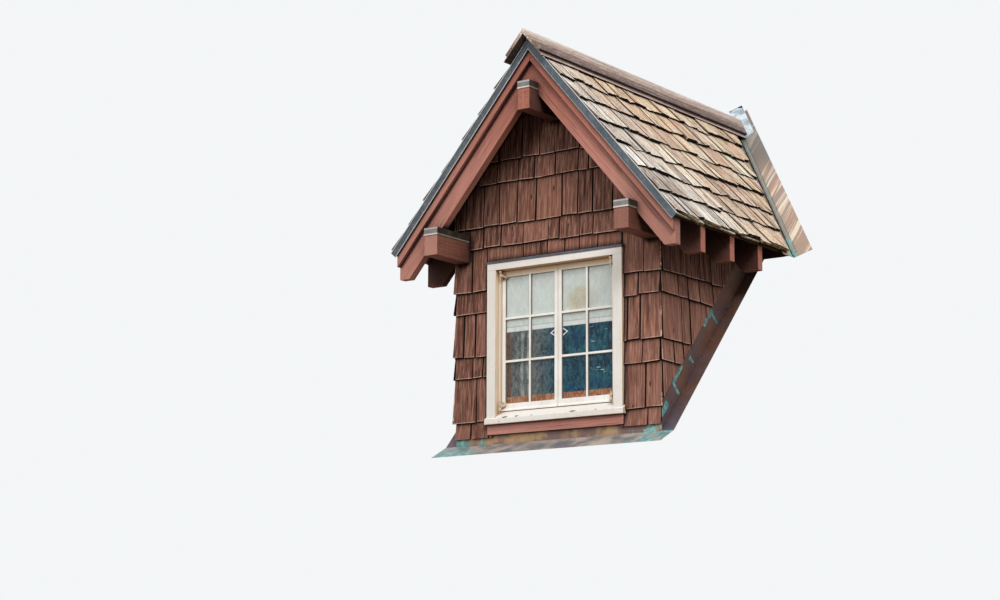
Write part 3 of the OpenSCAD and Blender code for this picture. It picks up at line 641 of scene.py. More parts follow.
def sheet_metal(name, dull, bright, stain, metallic=0.5, hem_highlights=False):
    """Dull sheet metal, rubbed bright at the folds as wear and painted highlight, stained by runs, with
    painted shade in corners, and painted highlights along the hems where asked.
    """
    tree = Finish(name)
    x, _, z = tree.xyz()
    weather = tree.weather(0.02)
    spots = tree.noise(26, 3, 0.6)
    tree.base(dull, bright, spots.step(0.4, 0.8) * 0.4)
    # Edges rubbed bright: wear, and a painted highlight
    tree.lay((weather.run.most(weather.cloud) * 0.5, stain), (tree.wear(0.004) * 0.9, bright))
    if hem_highlights:
        # Painted highlights along the lower hem, brighter on the left, and along the top rim
        above = (z + abs(x) * RT - RIDGE_Z) * RC
        lower = above.step(DRIP_FOOT + 0.007, DRIP_FOOT + 0.004) * x.step(0.2, -0.2, 0.35, 0.8)
        upper = above.step(DRIP_RIM - 0.007, DRIP_RIM - 0.004)
        tree.lay((lower, 214, 210, 206), (upper * 0.8, 226, 228, 226))
    # Painted shade in corners
    tree.lay((weather.corner * 0.5, 30, 30, 32))
    tree.done(tree.noise(9, 2), 0.004, spots.step(0.3, 0.7, 0.5, 0.7), Metallic=metallic)


@material
def cap_metal(tree):
    """Caps of the beams: grey fronts and sides painted dark brown as shade, painted highlights on the hem and
    top edge, and painted shade in corners.
    """
    front = tree.facing()[1].step(-0.5, -0.9)
    weather = tree.weather(0.02)
    spots = tree.noise(26, 3, 0.6)
    # Painted shade: the sides dark brown, the fronts grey
    tree.base((52, 43, 34), (124, 121, 118), front)
    tree.lay(
        (spots.step(0.4, 0.8) * (0.1 + front * 0.22), 204, 202, 194),
        (weather.run.most(weather.cloud) * 0.4, 78, 72, 62),
    )
    for beam in ("plate_beams", "ridge_beam"):
        top = tree.xyz()[2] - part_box(beam)[1].z
        # Painted highlights on the hem and along the top edge
        hem = abs(top + 0.049).step(0.008, 0.004)
        edge = abs(top + 0.004).step(0.009, 0.004) * front
        tree.lay((hem * (0.4 + front * 0.5), 226, 212, 202), (edge * 0.5, 214, 208, 204))
    # Painted shade in corners
    tree.lay((weather.corner * 0.6, 30, 24, 20))
    tree.done(tree.noise(9, 2), 0.004, spots.step(0.3, 0.7, 0.5, 0.7), Metallic=0.4)


@material
def saddle_sheet(tree):
    """Pale grey cap, painted nearly black as shade inside its turned-up end."""
    x, _, z = tree.xyz()
    high_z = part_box("saddle_cap")[1].z
    cloud = tree.noise(11, 4, 0.6)
    tree.base((152, 168, 180), (224, 232, 236), cloud.step(0.36, 0.62))
    # Painted shade inside the turned-up end
    end = (z + x * 0.2).step(high_z - 0.045, high_z - 0.032)
    tree.lay((cloud.step(0.62, 0.7) * 0.6, 120, 128, 132), (end * 0.92, 26, 32, 32))
    tree.done(cloud, 0.006, cloud.step(0.3, 0.7, 0.4, 0.62), Metallic=0.35)


def copper(tree):
    """Lays cloudy brown copper, and returns its clouds."""
    cloud = tree.noise(5, 4, 0.6)
    tree.base((104, 78, 66), (158, 122, 92), cloud.step(0.35, 0.7))
    return cloud


def patina(tree, reach):
    """Lays turquoise patina in runs, as far as reach lets it."""
    runs = tree.noise((13, 13, 5), 5, 0.68)
    pale = tree.noise(24, 3, 0.6)
    green = tree.mix((86, 156, 156), (150, 200, 196), pale.step(0.45, 0.65))
    tree.lay(((runs + reach).step(0.6, 0.7) * 0.85, green))


def copper_done(tree, cloud):
    """Paints shade in the copper's corners, and brightens its edges as wear and painted highlight."""
    tree.lay((tree.weather(0.03).corner * 0.6, 44, 36, 34), (tree.wear(0.004) * 0.6, 214, 190, 164))
    tree.done(cloud, 0.008, cloud.step(0.3, 0.7, 0.42, 0.66), Metallic=0.3)


@material
def valley_copper(tree):
    """Grey-tan copper with pale runs, and green at the standing fold."""
    cloud = copper(tree)
    x, y, z = tree.xyz()
    across = abs(x)
    wobble = tree.noise(3, 3) * 0.1
    runs = tree.noise(1, 3, 0.6, at=tree.vector(across * 26 + wobble * 9, z * 0.9, 0))
    tints = tree.noise(1, 1, at=tree.vector(across * 9, z * 0.6, 4))
    streak = tree.mix((244, 230, 208), (214, 156, 128), tints.step(0.47, 0.58))
    fold = roof_line(0, SHAKE_BASE) / MT - across * (RT / MT) - y
    near = abs(fold - 0.02).step(0.07, 0.05)
    ridge = abs(fold + 0.01).step(0.03, 0.012)
    low = z.step(2.1, 1.45)
    patches = tree.noise((10, 10, 4), 4, 0.6)
    green = tree.mix((70, 140, 134), (140, 196, 188), cloud.step(0.4, 0.6))
    tree.lay(
        (0.7, 188, 164, 148),
        (runs.step(0.5, 0.58) * 0.85, streak),
        (z.step(2.2, 2.5) * 0.65, 96, 100, 100),
        (near * 0.85, tree.mix((92, 92, 88), (158, 162, 152), ridge)),
        (near * (patches + low * 0.16).step(0.58, 0.7) * 0.8, green),
    )
    copper_done(tree, cloud)


@material
def base_copper(tree):
    """Flashing with a grey-blue skirt, golden leg and turquoise ends."""
    cloud = copper(tree)
    x, y, _ = tree.xyz()
    skirt = y.step(FRONT_Y - 0.004, FRONT_Y - 0.012)
    grey = tree.mix((124, 124, 130), (188, 174, 160), cloud.step(0.38, 0.62))
    gold = tree.mix((186, 150, 108), (128, 104, 98), cloud.step(0.4, 0.6))
    tree.base(gold, grey, skirt)
    ends = x.step(-0.35, -0.8) + x.step(0.45, 0.85)
    patina(tree, ends * 0.2 - 0.04)
    copper_done(tree, cloud)


@material
def step_copper(tree):
    """Dark step flashings with turquoise at the joints of the shingles."""
    cloud = copper(tree)
    _, y, z = tree.xyz()
    ragged = (tree.noise(18, 3, 0.6) - 0.5) * 0.05
    along = y * MC + z * MS + ragged
    above = z * MC - y * MS + ragged * 0.5
    tint = tree.noise(6, 2).step(0.5, 0.62) * 0.35 + along.step(0.45, 0.05) * 0.55
    tree.lay((0.85, tree.mix((112, 78, 66), (78, 84, 104), tint)))
    green = along * 0
    for start, end, bottom, top in STEP_PATINA:
        inside = along.step(start - 0.01, start + 0.004) * along.step(end + 0.01, end - 0.004)
        inside = inside * above.step(bottom - 0.008, bottom + 0.004)
        green = green.most(inside * above.step(top + 0.008, top - 0.004))
    patina(tree, green * 0.44 - 0.2)
    copper_done(tree, cloud)


@material
def pane_glass(tree):
    """Old glass, painted pale as the lit blind behind it, and below the blind a dark tint for the unlit room,
    with painted reflections and a painted view of the curtain, stool and pull inside.
    """
    x, _, z = tree.xyz()
    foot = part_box("window_glass")[0].z
    blind_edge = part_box("blind_cloth")[0].z - 0.043
    over_blind = z.step(blind_edge - 0.003, blind_edge + 0.003)
    hem = z.step(blind_edge + 0.034, blind_edge + 0.03)
    hem_shadow = abs(z - blind_edge - 0.036).step(0.004, 0.001)
    leaves = tree.noise((15, 1, 9), 5, 0.68, 1.2)
    twigs = tree.noise((30, 1, 15), 4, 0.6, 1.6)
    reflected_strokes = abs(twigs - 0.53).step(0.022, 0.008)
    folds = (x * 105 + tree.noise(3, 2) * 9).sine()
    curtain = x.step(-0.01, -0.24)
    hanging = abs(x + leaves * 0.06 + 0.285).step(0.07, 0.045)
    cloth = tree.mix((116, 114, 106), (180, 180, 172), folds.step(-0.6, 1) * hanging)
    brown = tree.mix((124, 84, 62), (84, 58, 48), twigs.step(0.45, 0.6))
    glints = tree.noise((16, 1, 150), 1)
    for glint_x, glint_z in PANE_GLINTS:
        away = abs((x - glint_x) / 0.026) + abs((z - glint_z) / 0.0045)
        glints = glints.most(away.step(1.2, 0.7))
    board = tree.mix((150, 92, 58), (196, 142, 104), twigs.step(0.4, 0.6))
    ring = abs(abs(x) / PULL_HALF_W + abs(z - PULL_Z) / PULL_HALF_H - 0.91)
    # Painted shade and reflections: a dark tint for the unlit room, mottled with painted reflections of trees
    # and sky
    tree.base((12, 46, 66), (36, 96, 110), leaves.step(0.38, 0.62))
    tree.lay(
        (tree.noise(8, 1).step(0.52, 0.66) * 0.6, 16, 66, 104),
        (curtain * (0.4 + leaves.step(0.36, 0.6) * 0.5), cloth),
        ((1 - twigs.step(0.36, 0.5)) * 0.45, 24, 44, 54),
        (reflected_strokes * (0.2 + curtain * 0.25), 150, 176, 180),
        ((x + leaves * 0.1).step(-0.36, -0.4) * 0.75, brown),
        (glints.step(0.7, 0.74) * x.step(0.2, 0.3) * 0.9, 170, 208, 224),
        (z.step(foot + 0.058, foot + 0.05) * 0.9, board),
        (z.step(foot + 0.012, foot + 0.006) * 0.6, 74, 40, 28),
        (ring.step(0.11, 0.08) * 0.95, 244, 247, 246),
    )
    from_stain = tree.vector_math("LENGTH", tree.vector((x - STAIN_X) * 0.6, 0, z - STAIN_Z), output=1)
    tan = (from_stain + (tree.noise(9, 4, 0.6) - 0.5) * 0.16).step(0.13, 0.03)
    # Over the blind: the lit blind painted on, with its stain, its bright hem and painted reflections
    clear = tree.mix((232, 241, 236), (212, 200, 168), tan * 0.8)
    clear = tree.mix(clear, (250, 252, 250), (reflected_strokes * 0.5).most(hem * 0.85))
    clear = tree.mix(clear, (150, 160, 160), hem_shadow * 0.6)
    tree.lay((over_blind, clear))
    alpha = over_blind * leaves.step(0.35, 0.7, 0.62, 0.8) + (1 - over_blind) * 0.97
    tree.done(
        tree.noise(7, 1), 0.0015, twigs.step(0.3, 0.8, 0.04, 0.14), IOR=1.45,
        Transmission_Weight=0.12, Alpha=alpha,
    )


@material
def brown_wood(tree):
    """Brown wood of the stool and the roller."""
    x, y, z = tree.xyz()
    wood = tree.wood(160, 22, tree.vector(z, x, y))
    tree.base((128, 78, 50), (176, 116, 78), wood.band)
    tree.lay(((1 - wood.streak) * 0.4, 84, 48, 33))
    tree.done(wood.fine, 0.0006, 0.5)


@material
def blind_fabric(tree):
    """Woven cloth, a little yellowed in clouds."""
    x, _, z = tree.xyz()
    weave = (x * 3600).sine() * (z * 3600).sine()
    tree.base((226, 232, 224), (240, 243, 236), tree.noise(6, 3).step(0.3, 0.7))
    tree.lay((weave.step(0.2, 1) * 0.4, 206, 212, 204))
    tree.done(weave, 0.0002, 0.9)


@material
def blind_bar(tree):
    """White hem bar of the blind."""
    speck = tree.noise(120, 2)
    tree.base((252, 253, 250), (238, 240, 234), speck.step(0.4, 0.7))
    tree.done(speck, 0.0003, 0.45)


brick_red_paint("brick_red_paint", (176, 112, 98), (200, 142, 126), (160, 90, 73))
brick_red_paint("beam_paint", (112, 67, 53), (134, 84, 67), (110, 65, 51), True)
brick_red_paint("ridge_beam_paint", (92, 56, 47), (112, 70, 59), (92, 54, 44), True, (170, 104, 84))
cream_paint("cream_paint", (240, 235, 228), 0.6, 0.09)
cream_paint("sash_paint", (252, 249, 243), 0.0, 0.012)
sheet_metal("drip_metal", (86, 96, 104), (166, 176, 182), (62, 70, 76), hem_highlights=True)
sheet_metal("grey_sheet", (92, 98, 108), (146, 154, 164), (88, 68, 62))
sheet_metal("hinge_metal", (226, 206, 170), (252, 248, 238), (150, 110, 70), 0.1)
sheet_metal("fastener_metal", (92, 88, 84), (176, 172, 164), (92, 60, 42))
SLOTS = {part["node"]: part["material_slot"] for part in frame["record"]["subparts"]}


def added(name, data):
    """A new object in the scene."""
    holder = bpy.data.objects.new(name, data)
    bpy.context.scene.collection.objects.link(holder)
    return holder


def as_shape(mesh):
    shape = bmesh.new()
    shape.from_mesh(mesh)
    return shape


def as_mesh(name, shape):
    """A new mesh of a shape, which isn't kept."""
    mesh = bpy.data.meshes.new(name)
    shape.to_mesh(mesh)
    shape.free()
    return mesh


def show(name, mesh, slot, nodes=(), finish=None):
    """Shows a mesh as a piece that stands for some of the frame's nodes."""
    piece = added(name, mesh)
    mesh.materials.clear()
    mesh.materials.append(FINISHES[finish or slot])
    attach(piece, "root")
    if nodes:
        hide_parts(*nodes)
    return piece


def merged_node(node):
    """A frame node as one closed shape with whole flat faces."""
    shape = as_shape(frame["nodes"][node].data)
    bmesh.ops.remove_doubles(shape, verts=shape.verts, dist=1e-5)
    flat = math.radians(0.5)
    bmesh.ops.dissolve_limit(shape, angle_limit=flat, verts=shape.verts, edges=shape.edges)
    return shape


def islands(shape):
    """The points of each separate solid in a shape."""
    left_over = set(shape.verts)
    while left_over:
        found = [left_over.pop()]
        for point in found:
            for edge in point.link_edges:
                other = edge.other_vert(point)
                if other in left_over:
                    left_over.discard(other)
                    found.append(other)
        yield found


def span(points):
    """Lowest and highest corner of some points."""
    sides = [[p.co[i] for p in points] for i in range(3)]
    return Vector([min(side) for side in sides]), Vector([max(side) for side in sides])


def lay_grain(shape, along, seed):
    """Stores places with Y along the grain, moved and toned by chance for each solid."""
    stores = shape.verts.layers.float_vector
    grain = stores.new("grain")
    shade = stores.new("shade")
    along = Vector(along).normalized()
    side = along.cross(Vector(Z) if abs(along.z) < 0.9 else Vector(Y)).normalized()
    turn = Matrix((side, along, side.cross(along)))
    chance = random.Random(seed)
    for points in sorted(islands(shape), key=lambda points: min(tuple(p.co) for p in points)):
        shift = Vector([chance.uniform(-9, 9) for _ in range(3)])
        tone = chance.random()
        for point in points:
            point[grain] = turn @ point.co + shift
            point[shade] = (tone, 1, 0.5)


def timber(node, along, bevel=0.003, finish=None):
    """A frame node's timber with eased edges, and grain along a direction."""
    shape = merged_node(node)
    sharp = [e for e in shape.edges if e.is_manifold and e.calc_face_angle(0) > math.radians(25)]
    bmesh.ops.bevel(
        shape, geom=sharp, offset=bevel, segments=2, profile=0.6, affect="EDGES", clamp_overlap=True
    )
    lay_grain(shape, along, node)
    name = node + "_timber"
    return show(name, as_mesh(name, shape), SLOTS[node], [node], finish)


class Growth(Tree):
    """A geometry tree with named inputs, one of them its material."""

    def __init__(self, name, inputs):
        super().__init__(bpy.data.node_groups.new(name, "GeometryNodeTree"))
        self.given = self.sockets({**inputs, "Material": MATERIAL}, ["Geometry"], GEOMETRY)

    def named_attribute(self, name, kind="FLOAT"):
        return self.node("GeometryNodeInputNamedAttribute", {"Name": name}, data_type=kind)

    def stored(self, flow, name, value, kind="FLOAT"):
        """A flow with a value stored at its points."""
        inputs = {"Geometry": flow, "Name": name, "Value": value}
        return self.node("GeometryNodeStoreNamedAttribute", inputs, data_type=kind, domain="POINT")

    def copies(self, points, instance, turn=None):
        """Real copies of a mesh on points."""
        inputs = {"Points": points, "Instance": instance, "Rotation": turn}
        flow = self.node("GeometryNodeInstanceOnPoints", inputs)
        return self.node("GeometryNodeRealizeInstances", {"Geometry": flow})

    def end_with(self, flow):
        """Gives a flow its material and puts it out."""
        inputs = {"Geometry": flow, "Material": self.given.material}
        self.feed(self.end.inputs["Geometry"], self.node("GeometryNodeSetMaterial", inputs))
        return self.made


# How the wall's shingles look. It also names the inputs of the tree that makes all courses.
WALL_LOOK = {
    "Courses": 7, "First": COURSE_Z1 - COURSE_NARROW, "Low Exposure": COURSE_NARROW,
    "High Exposure": COURSE_WIDE, "Start": 0.0, "End": 1.0, "Width": 0.165, "Width Change": 0.66,
    "Narrowest": 0.07, "Gap": 0.009, "Butt Height": SHINGLE_BUTT, "Lap Height": SHINGLE_LAP,
    "Butt Thickness": 0.013, "Tip Thickness": 0.004, "Lap": 0.03, "Drop": 0.006, "Slant": 0.006,
    "Lift": 0.0022, "Thin": 0.004, "Warp": 0.0022, "Corner": SHINGLE_BUTT, "Corner Course": 0.0,
    "Columns": 4, "Rows": 5, "Seed": 1,
}


def shingle_courses():
    """Courses of wedges, with X along a course, Y up from the butts and Z out."""
    tree = Growth("shingle_courses", WALL_LOOK)
    given = tree.given
    first, last, width, narrowest = given.start, given.end, given.width, given.narrowest

    def chance(low, high, key, salt):
        inputs = {2: low, 3: high, 7: key, 8: given.seed + salt}
        return tree.node("FunctionNodeRandomValue", inputs, 1, data_type="FLOAT")

    per_course = ((last - first) / width).ceil() + 3
    index = tree.node("GeometryNodeInputIndex")
    course = (index / per_course).floor()
    place = index - course * per_course
    pair = (course / 2).floor()
    odd = course - pair * 2

    def joint(number, side):
        """Where one shingle ends and the next begins, and its gap and corners."""
        key = course * 97 + number
        shift = chance(-0.5, 0.5, course, 1) + chance(-0.5, 0.5, key, 2) * given.width_change
        raw = first + (number - 1 + shift) * width
        at_first = raw < first + narrowest
        at_last = raw > last - narrowest
        inside = (1 - at_first) * (1 - at_last)
        gap = given.gap * chance(0.25, 0.9, key, 3 + side) * inside
        corner = given.corner * (1 - abs(odd - given.corner_course))
        return raw * inside + first * at_first + last * at_last, gap, corner * at_first, corner * at_last

    left_edge, left_gap, left_corner, _ = joint(place, 0)
    right_edge, right_gap, _, right_corner = joint(place + 1, 1)
    low_show, high_show = given.low_exposure, given.high_exposure
    butt = given.first + pair * (low_show + high_show) + odd * low_show
    stored = {
        "left": left_edge + left_gap,
        "right": right_edge - right_gap,
        "left_corner": left_corner,
        "right_corner": right_corner,
        "butt": butt + chance(-1.0, 1.0, index, 5) * given.drop,
        "exposure": low_show + odd * (high_show - low_show),
        "tone": chance(0.0, 1.0, index, 9),
    }
    for name, low, reach, salt in (
        ("lift", 0.0, given.lift, 6), ("tilt", -1.0, given.lift, 7), ("skew", -1.0, given.gap, 8),
        ("thin", 0.0, given.thin, 10), ("slant", -1.0, given.slant, 11),
    ):
        stored[name] = chance(low, 1.0, index, salt) * reach
    flow = tree.node("GeometryNodePoints", {"Count": given.courses * per_course})
    for name, value in stored.items():
        flow = tree.stored(flow, name, value)
    inputs = {"Geometry": flow, "Selection": (right_edge - left_edge) < narrowest * 0.5}
    flow = tree.node("GeometryNodeDeleteGeometry", inputs, domain="POINT")
    inputs = {"Vertices X": given.columns, "Vertices Y": given.rows, "Vertices Z": 2}
    flow = tree.copies(flow, tree.node("GeometryNodeMeshCube", inputs))

    kept = SimpleNamespace(**{name: tree.named_attribute(name) for name in stored})
    at = tree.node("GeometryNodeInputPosition")
    u, v, w = [part + 0.5 for part in tree.xyz(at)]
    along = v * (kept.exposure + given.lap)
    slope = (given.butt_height - given.lap_height) / kept.exposure
    outer = given.butt_height - slope * along - kept.thin * (1 - v)
    thickness = (given.butt_thickness - kept.thin) * (1 - v) + given.tip_thickness * v
    fade = outer / given.butt_height
    left, right = kept.left - kept.left_corner * fade, kept.right + kept.right_corner * fade
    across = left * (1 - u) + right * u + kept.skew * v * (u - 0.5)
    waves = tree.vector(across * 14, along * 5 + kept.tone * 40, kept.tone * 9)
    wave = tree.noise(1.0, 1.0, at=waves) - 0.5
    raised = kept.lift * (1 - v) + kept.tilt * (u - 0.5) * (1 - v) + wave * given.warp
    ragged = tree.noise(1.0, 1.0, at=tree.vector(across * 40, kept.tone * 60, 0.0)) - 0.5
    height = outer - (1 - w) * thickness + raised
    flow = tree.stored(flow, "shade", tree.vector(kept.tone, along, u), "FLOAT_VECTOR")
    sag = (ragged * given.drop + kept.slant * (u - 0.5)) * (1 - v)
    spot = tree.vector(across, kept.butt + along + sag, height)
    flow = tree.node("GeometryNodeSetPosition", {"Geometry": flow, "Position": spot})
    shift = tree.vector(kept.tone * 17, kept.tone * 31, kept.tone * 7)
    return tree.end_with(tree.stored(flow, "grain", tree.vector_math("ADD", at, shift), "FLOAT_VECTOR"))


def grown(group, settings, mesh=None):
    """The mesh that a geometry tree makes with its named inputs set."""
    holder = added("grown", mesh or bpy.data.meshes.new("grown"))
    modifier = holder.modifiers.new("grown", "NODES")
    modifier.node_group = group
    for item in group.interface.items_tree:
        if item.in_out == "INPUT" and item.name in settings:
            modifier[item.identifier] = settings[item.name]
    ready = holder.evaluated_get(bpy.context.evaluated_depsgraph_get())
    mesh = bpy.data.meshes.new_from_object(ready)
    bpy.data.objects.remove(holder)
    spare = [a.name for a in mesh.attributes if a.data_type == "FLOAT" and a.domain == "POINT"]
    for attribute in spare:
        mesh.attributes.remove(mesh.attributes[attribute])
    return mesh


def cut(shape, *planes):
    """Cuts off what lies outside planes, each a point and an outward direction."""
    for point, outward in planes:
        parts = shape.verts[:] + shape.edges[:] + shape.faces[:]
        found = bmesh.ops.bisect_plane(
            shape, geom=parts, plane_co=point, plane_no=outward, clear_outer=True
        )
        rim = [part for part in found["geom_cut"] if isinstance(part, bmesh.types.BMEdge)]
        bmesh.ops.holes_fill(shape, edges=rim, sides=0)
    return shape


def laid(origin, *axes):
    """The matrix that lays a flat frame at an origin with its axes along three directions."""
    return Matrix.LocRotScale(Vector(origin), Matrix(axes).transposed(), None)


def clad(name, node, slot, look, lie, planes, layers):
    """Shows courses laid on a surface and cut, each layer with more of a look and more planes."""
    whole = bmesh.new()
    for more, extra in layers:
        shape = as_shape(grown(COURSES, {**look, **more, "Material": FINISHES[slot]}))
        shape.transform(laid(*lie))
        part = as_mesh("part", cut(shape, *planes, *extra))
        whole.from_mesh(part)
        bpy.data.meshes.remove(part)
    show(name, as_mesh(node, whole), slot, [node])


COURSES = shingle_courses()


def roof_shakes(side, hand):
    """Shakes of one slope with a starter course, cut back along the valley."""
    node = hand + "roof_shakes"
    run = (RAKE_Y, SHAKES_END_Y) if side == RIGHT else (-SHAKES_END_Y, -RAKE_Y)
    look = {
        "Start": run[0], "End": run[1], "Width": 0.150, "Width Change": 0.62, "Narrowest": 0.06,
        "Gap": 0.009, "Drop": 0.021, "Slant": 0.030, "Lift": 0.004, "Thin": 0.014, "Warp": 0.007,
        "First": 0.0, "Low Exposure": EXPOSURE, "High Exposure": EXPOSURE, "Corner": 0.0,
        "Columns": 7, "Rows": 7, "Seed": 40 + side,
    }
    main = {
        "Courses": 7, "Butt Height": SHAKE_BUTT, "Lap Height": SHAKE_BUTT - SHAKE_STEP,
        "Butt Thickness": 0.024, "Tip Thickness": 0.005, "Lap": 0.205,
    }
    starter = {
        "Courses": 1, "Butt Height": SHAKE_BASE + 0.024, "Lap Height": SHAKE_BASE + 0.012,
        "Butt Thickness": 0.022, "Tip Thickness": 0.004, "Lap": 0.05, "First": 0.004, "Seed": 60 + side,
    }
    eave = (side * EAVE_S * RC, 0, RIDGE_Z - EAVE_S * RS)
    lie = (eave, (0, side, 0), (-side * RC, 0, RS), (side * RS, 0, RC))
    valley = (0, (roof_line(0, SHAKE_BASE) - VALLEY_GAP * MT) / MT, 0)
    planes = (
        (valley, Vector((side * RT / MT, 1, 0)).normalized()), ((side * 0.0005, 0, 0), (-side, 0, 0)),
    )
    clad(node + "_cedar", node, "cedar_shake", look, lie, planes, ((main, ()), (starter, ())))


def front_shingles():
    """Shingles of the gable, open behind the window's casings."""
    hide_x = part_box("side_casings")[1].x - CASING_HIDE
    hide_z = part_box("head_flashing")[1].z - CASING_HIDE
    look = {
        **WALL_LOOK, "Courses": 12, "Start": -CHEEK_X, "End": CHEEK_X, "Seed": 5, "Corner Course": 1.0,
    }
    peak = (0, 0, roof_line(0, -0.001))
    edges = [((0, 0, FOOT_Z), DOWN), (peak, (RS, 0, RC)), (peak, (-RS, 0, RC))]
    regions = [
        [((-hide_x, 0, 0), X)],
        [((hide_x, 0, 0), (-1, 0, 0))],
        [((hide_x, 0, 0), X), ((-hide_x, 0, 0), (-1, 0, 0)), ((0, 0, hide_z), DOWN)],
    ]
    lie = ((0, FRONT_Y, 0), X, Z, FRONT)
    layers = [({}, region) for region in regions]
    clad("front_wall_shingles", "front_shingles", "stained_shingle", look, lie, edges, layers)


def cheek_shingles(side, hand):
    """Shingles of one cheek, cut parallel to the main roof above the flashings."""
    node = hand + "cheek_shingles"
    _, back_y, top_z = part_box(node)[1]
    run = (FRONT_Y, back_y + 0.1) if side == RIGHT else (-back_y - 0.1, -FRONT_Y)
    look = {**WALL_LOOK, "Start": run[0], "End": run[1], "Seed": 12 + side}
    lie = ((side * CHEEK_X, 0, 0), (0, side, 0), Z, (side, 0, 0))
    planes = (
        ((0, 0, FOOT_Z), DOWN), ((0, 0, top_z), Z),
        ((0, 0, STEP_SHOW / MC), (0, MS, -MC)), ((0, back_y, 0), Y),
    )
    clad(hand + "cheek_wall_shingles", node, "stained_shingle", look, lie, planes, (({}, ()),))


def all_timber():
    """Beams, rafters, boards and the window's wood."""
    timber("ridge_beam", Y, bevel=0.004, finish="ridge_beam_paint")
    timber("plate_beams", Y, bevel=0.004, finish="beam_paint")
    timber("eave_blocks", Y, bevel=0.002, finish="beam_paint")
    timber("apron_board", X)
    for side, hand in HANDS:
        slope = (side * RC, 0, -RS)
        timber(hand + "rafters", slope, finish="beam_paint")
        timber(hand + "barge_board", slope, bevel=0.004)
        timber(hand + "rake_trim", slope)
        timber(hand + "ridge_board", Y)
    timber("window_frame", Z, bevel=0.0015)
    timber("window_sill", X)
    timber("side_casings", Z, bevel=0.002)
    timber("head_casing", X, bevel=0.002)
    for _, hand in HANDS:
        timber(hand + "sash", Z, bevel=0.0015, finish="sash_paint")


def pane_putty(side, hand):
    """A slope of putty round each pane of a sash."""
    name = hand + "sash_putty"
    face_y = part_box(hand + "sash")[0].y + WEATHER_BAR + 0.002
    inset = GLASS_BITE + PUTTY_WIDTH
    shown = (GLASS_BITE + 0.0005) / inset
    glass = merged_node("window_glass")
    panes = [span(points) for points in islands(glass)]
    glass.free()
    shape = bmesh.new()
    for low, high in sorted(panes, key=lambda pane: (round(pane[0].z, 3), pane[0].x)):
        if side * (low.x + high.x) < 0:
            continue
        corners = ((low.x, low.z), (high.x, low.z), (high.x, high.z), (low.x, high.z))
        middle = ((low.x + high.x) / 2, (low.z + high.z) / 2)
        rings = []
        for share, y in ((0.0, low.y), (1.0, low.y), (shown, face_y), (0.0, face_y)):
            ring = []
            for x, z in corners:
                turn_x = math.copysign(inset * share, middle[0] - x)
                turn_z = math.copysign(inset * share, middle[1] - z)
                ring.append(shape.verts.new((x + turn_x, y, z + turn_z)))
            rings.append(ring)
        for first, second in zip(rings, rings[1:] + rings[:1]):
            band(shape, first, second)
    bmesh.ops.recalc_face_normals(shape, faces=shape.faces)
    show(name, as_mesh(name, shape), "cream_paint", finish="glazing_putty")


def band(shape, first, second):
    """Adds the faces between two rings of points."""
    for i in range(len(first)):
        j = (i + 1) % len(first)
        shape.faces.new((first[i], first[j], second[j], second[i]))


def grid(columns, rows, size):
    shape = bmesh.new()
    bmesh.ops.create_grid(shape, x_segments=columns, y_segments=rows, size=size)
    return shape


def roller_blind():
    """The drawn blind: cloth in slight waves, and its bar."""
    low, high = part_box("blind_cloth")
    bar = timber("blind_hem_bar", X, bevel=0.001)
    wide, tall = high.x - low.x, high.z - low.z
    middle_y = (low.y + high.y) / 2
    shape = grid(columns=72, rows=28, size=0.5)
    for point in shape.verts:
        across, up = point.co.x + 0.5, point.co.y + 0.5
        hung = math.sin(across * 19 + up * 1.4) * 0.6 + math.sin(across * 7.3 + 1.1) * 0.4
        held = math.sin(math.pi * min(up * 1.6, 1.0) / 2) * math.sin(math.pi * (1 - up) / 2)
        point.co = (low.x + wide * across, middle_y + hung * held * BLIND_WAVE, low.z + tall * up)
    mesh = as_mesh("blind_cloth_hung", shape)
    cloth = show("blind_cloth_hung", mesh, "blind_fabric", ["blind_cloth"])
    solid = cloth.modifiers.new("cloth", "SOLIDIFY")
    solid.thickness = 0.0008
    solid.offset = 0


def fastener_heads():
    """Flat heads set on points, each facing as its point does."""
    inputs = {"Geometry": GEOMETRY, "Diameter": 0.008, "Height": 0.0015, "Sides": 10}
    tree = Growth("fastener_heads", inputs)
    given = tree.given
    points = tree.node("GeometryNodeMeshToPoints", {"Mesh": given.geometry})
    inputs = {"Vertices": given.sides, "Radius": given.diameter / 2, "Depth": given.height * 2}
    head = tree.node("GeometryNodeMeshCylinder", inputs)
    facing = tree.named_attribute("facing", "FLOAT_VECTOR")
    turn = tree.node("FunctionNodeAlignRotationToVector", {"Vector": facing}, axis="Z")
    return tree.end_with(tree.copies(points, head, turn))


def fasteners(name, spots, diameter, slot, finish="fastener_metal"):
    """Heads of nails or screws at spots, each a place and a direction."""
    mesh = bpy.data.meshes.new(name)
    mesh.from_pydata([place for place, facing in spots], [], [])
    facing = mesh.attributes.new("facing", "FLOAT_VECTOR", "POINT")
    for item, (place, direction) in zip(facing.data, spots):
        item.vector = direction
    settings = {"Diameter": diameter, "Height": 0.0012, "Sides": 10, "Material": FINISHES[finish]}
    show(name, grown(HEADS, settings, mesh), slot, finish=finish)


def turned(shape, profile, spot, sides=14):
    """Adds an upright turned piece, from pairs of radius and height above a spot."""
    rings = []
    for radius, height in profile:
        ring = []
        for i in range(sides):
            angle = math.tau * i / sides
            out = Vector((radius * math.cos(angle), radius * math.sin(angle), height))
            ring.append(shape.verts.new(Vector(spot) + out))
        rings.append(ring)
    for low, high in zip(rings, rings[1:]):
        band(shape, low, high)
    shape.faces.new(rings[0][::-1])
    shape.faces.new(rings[-1])


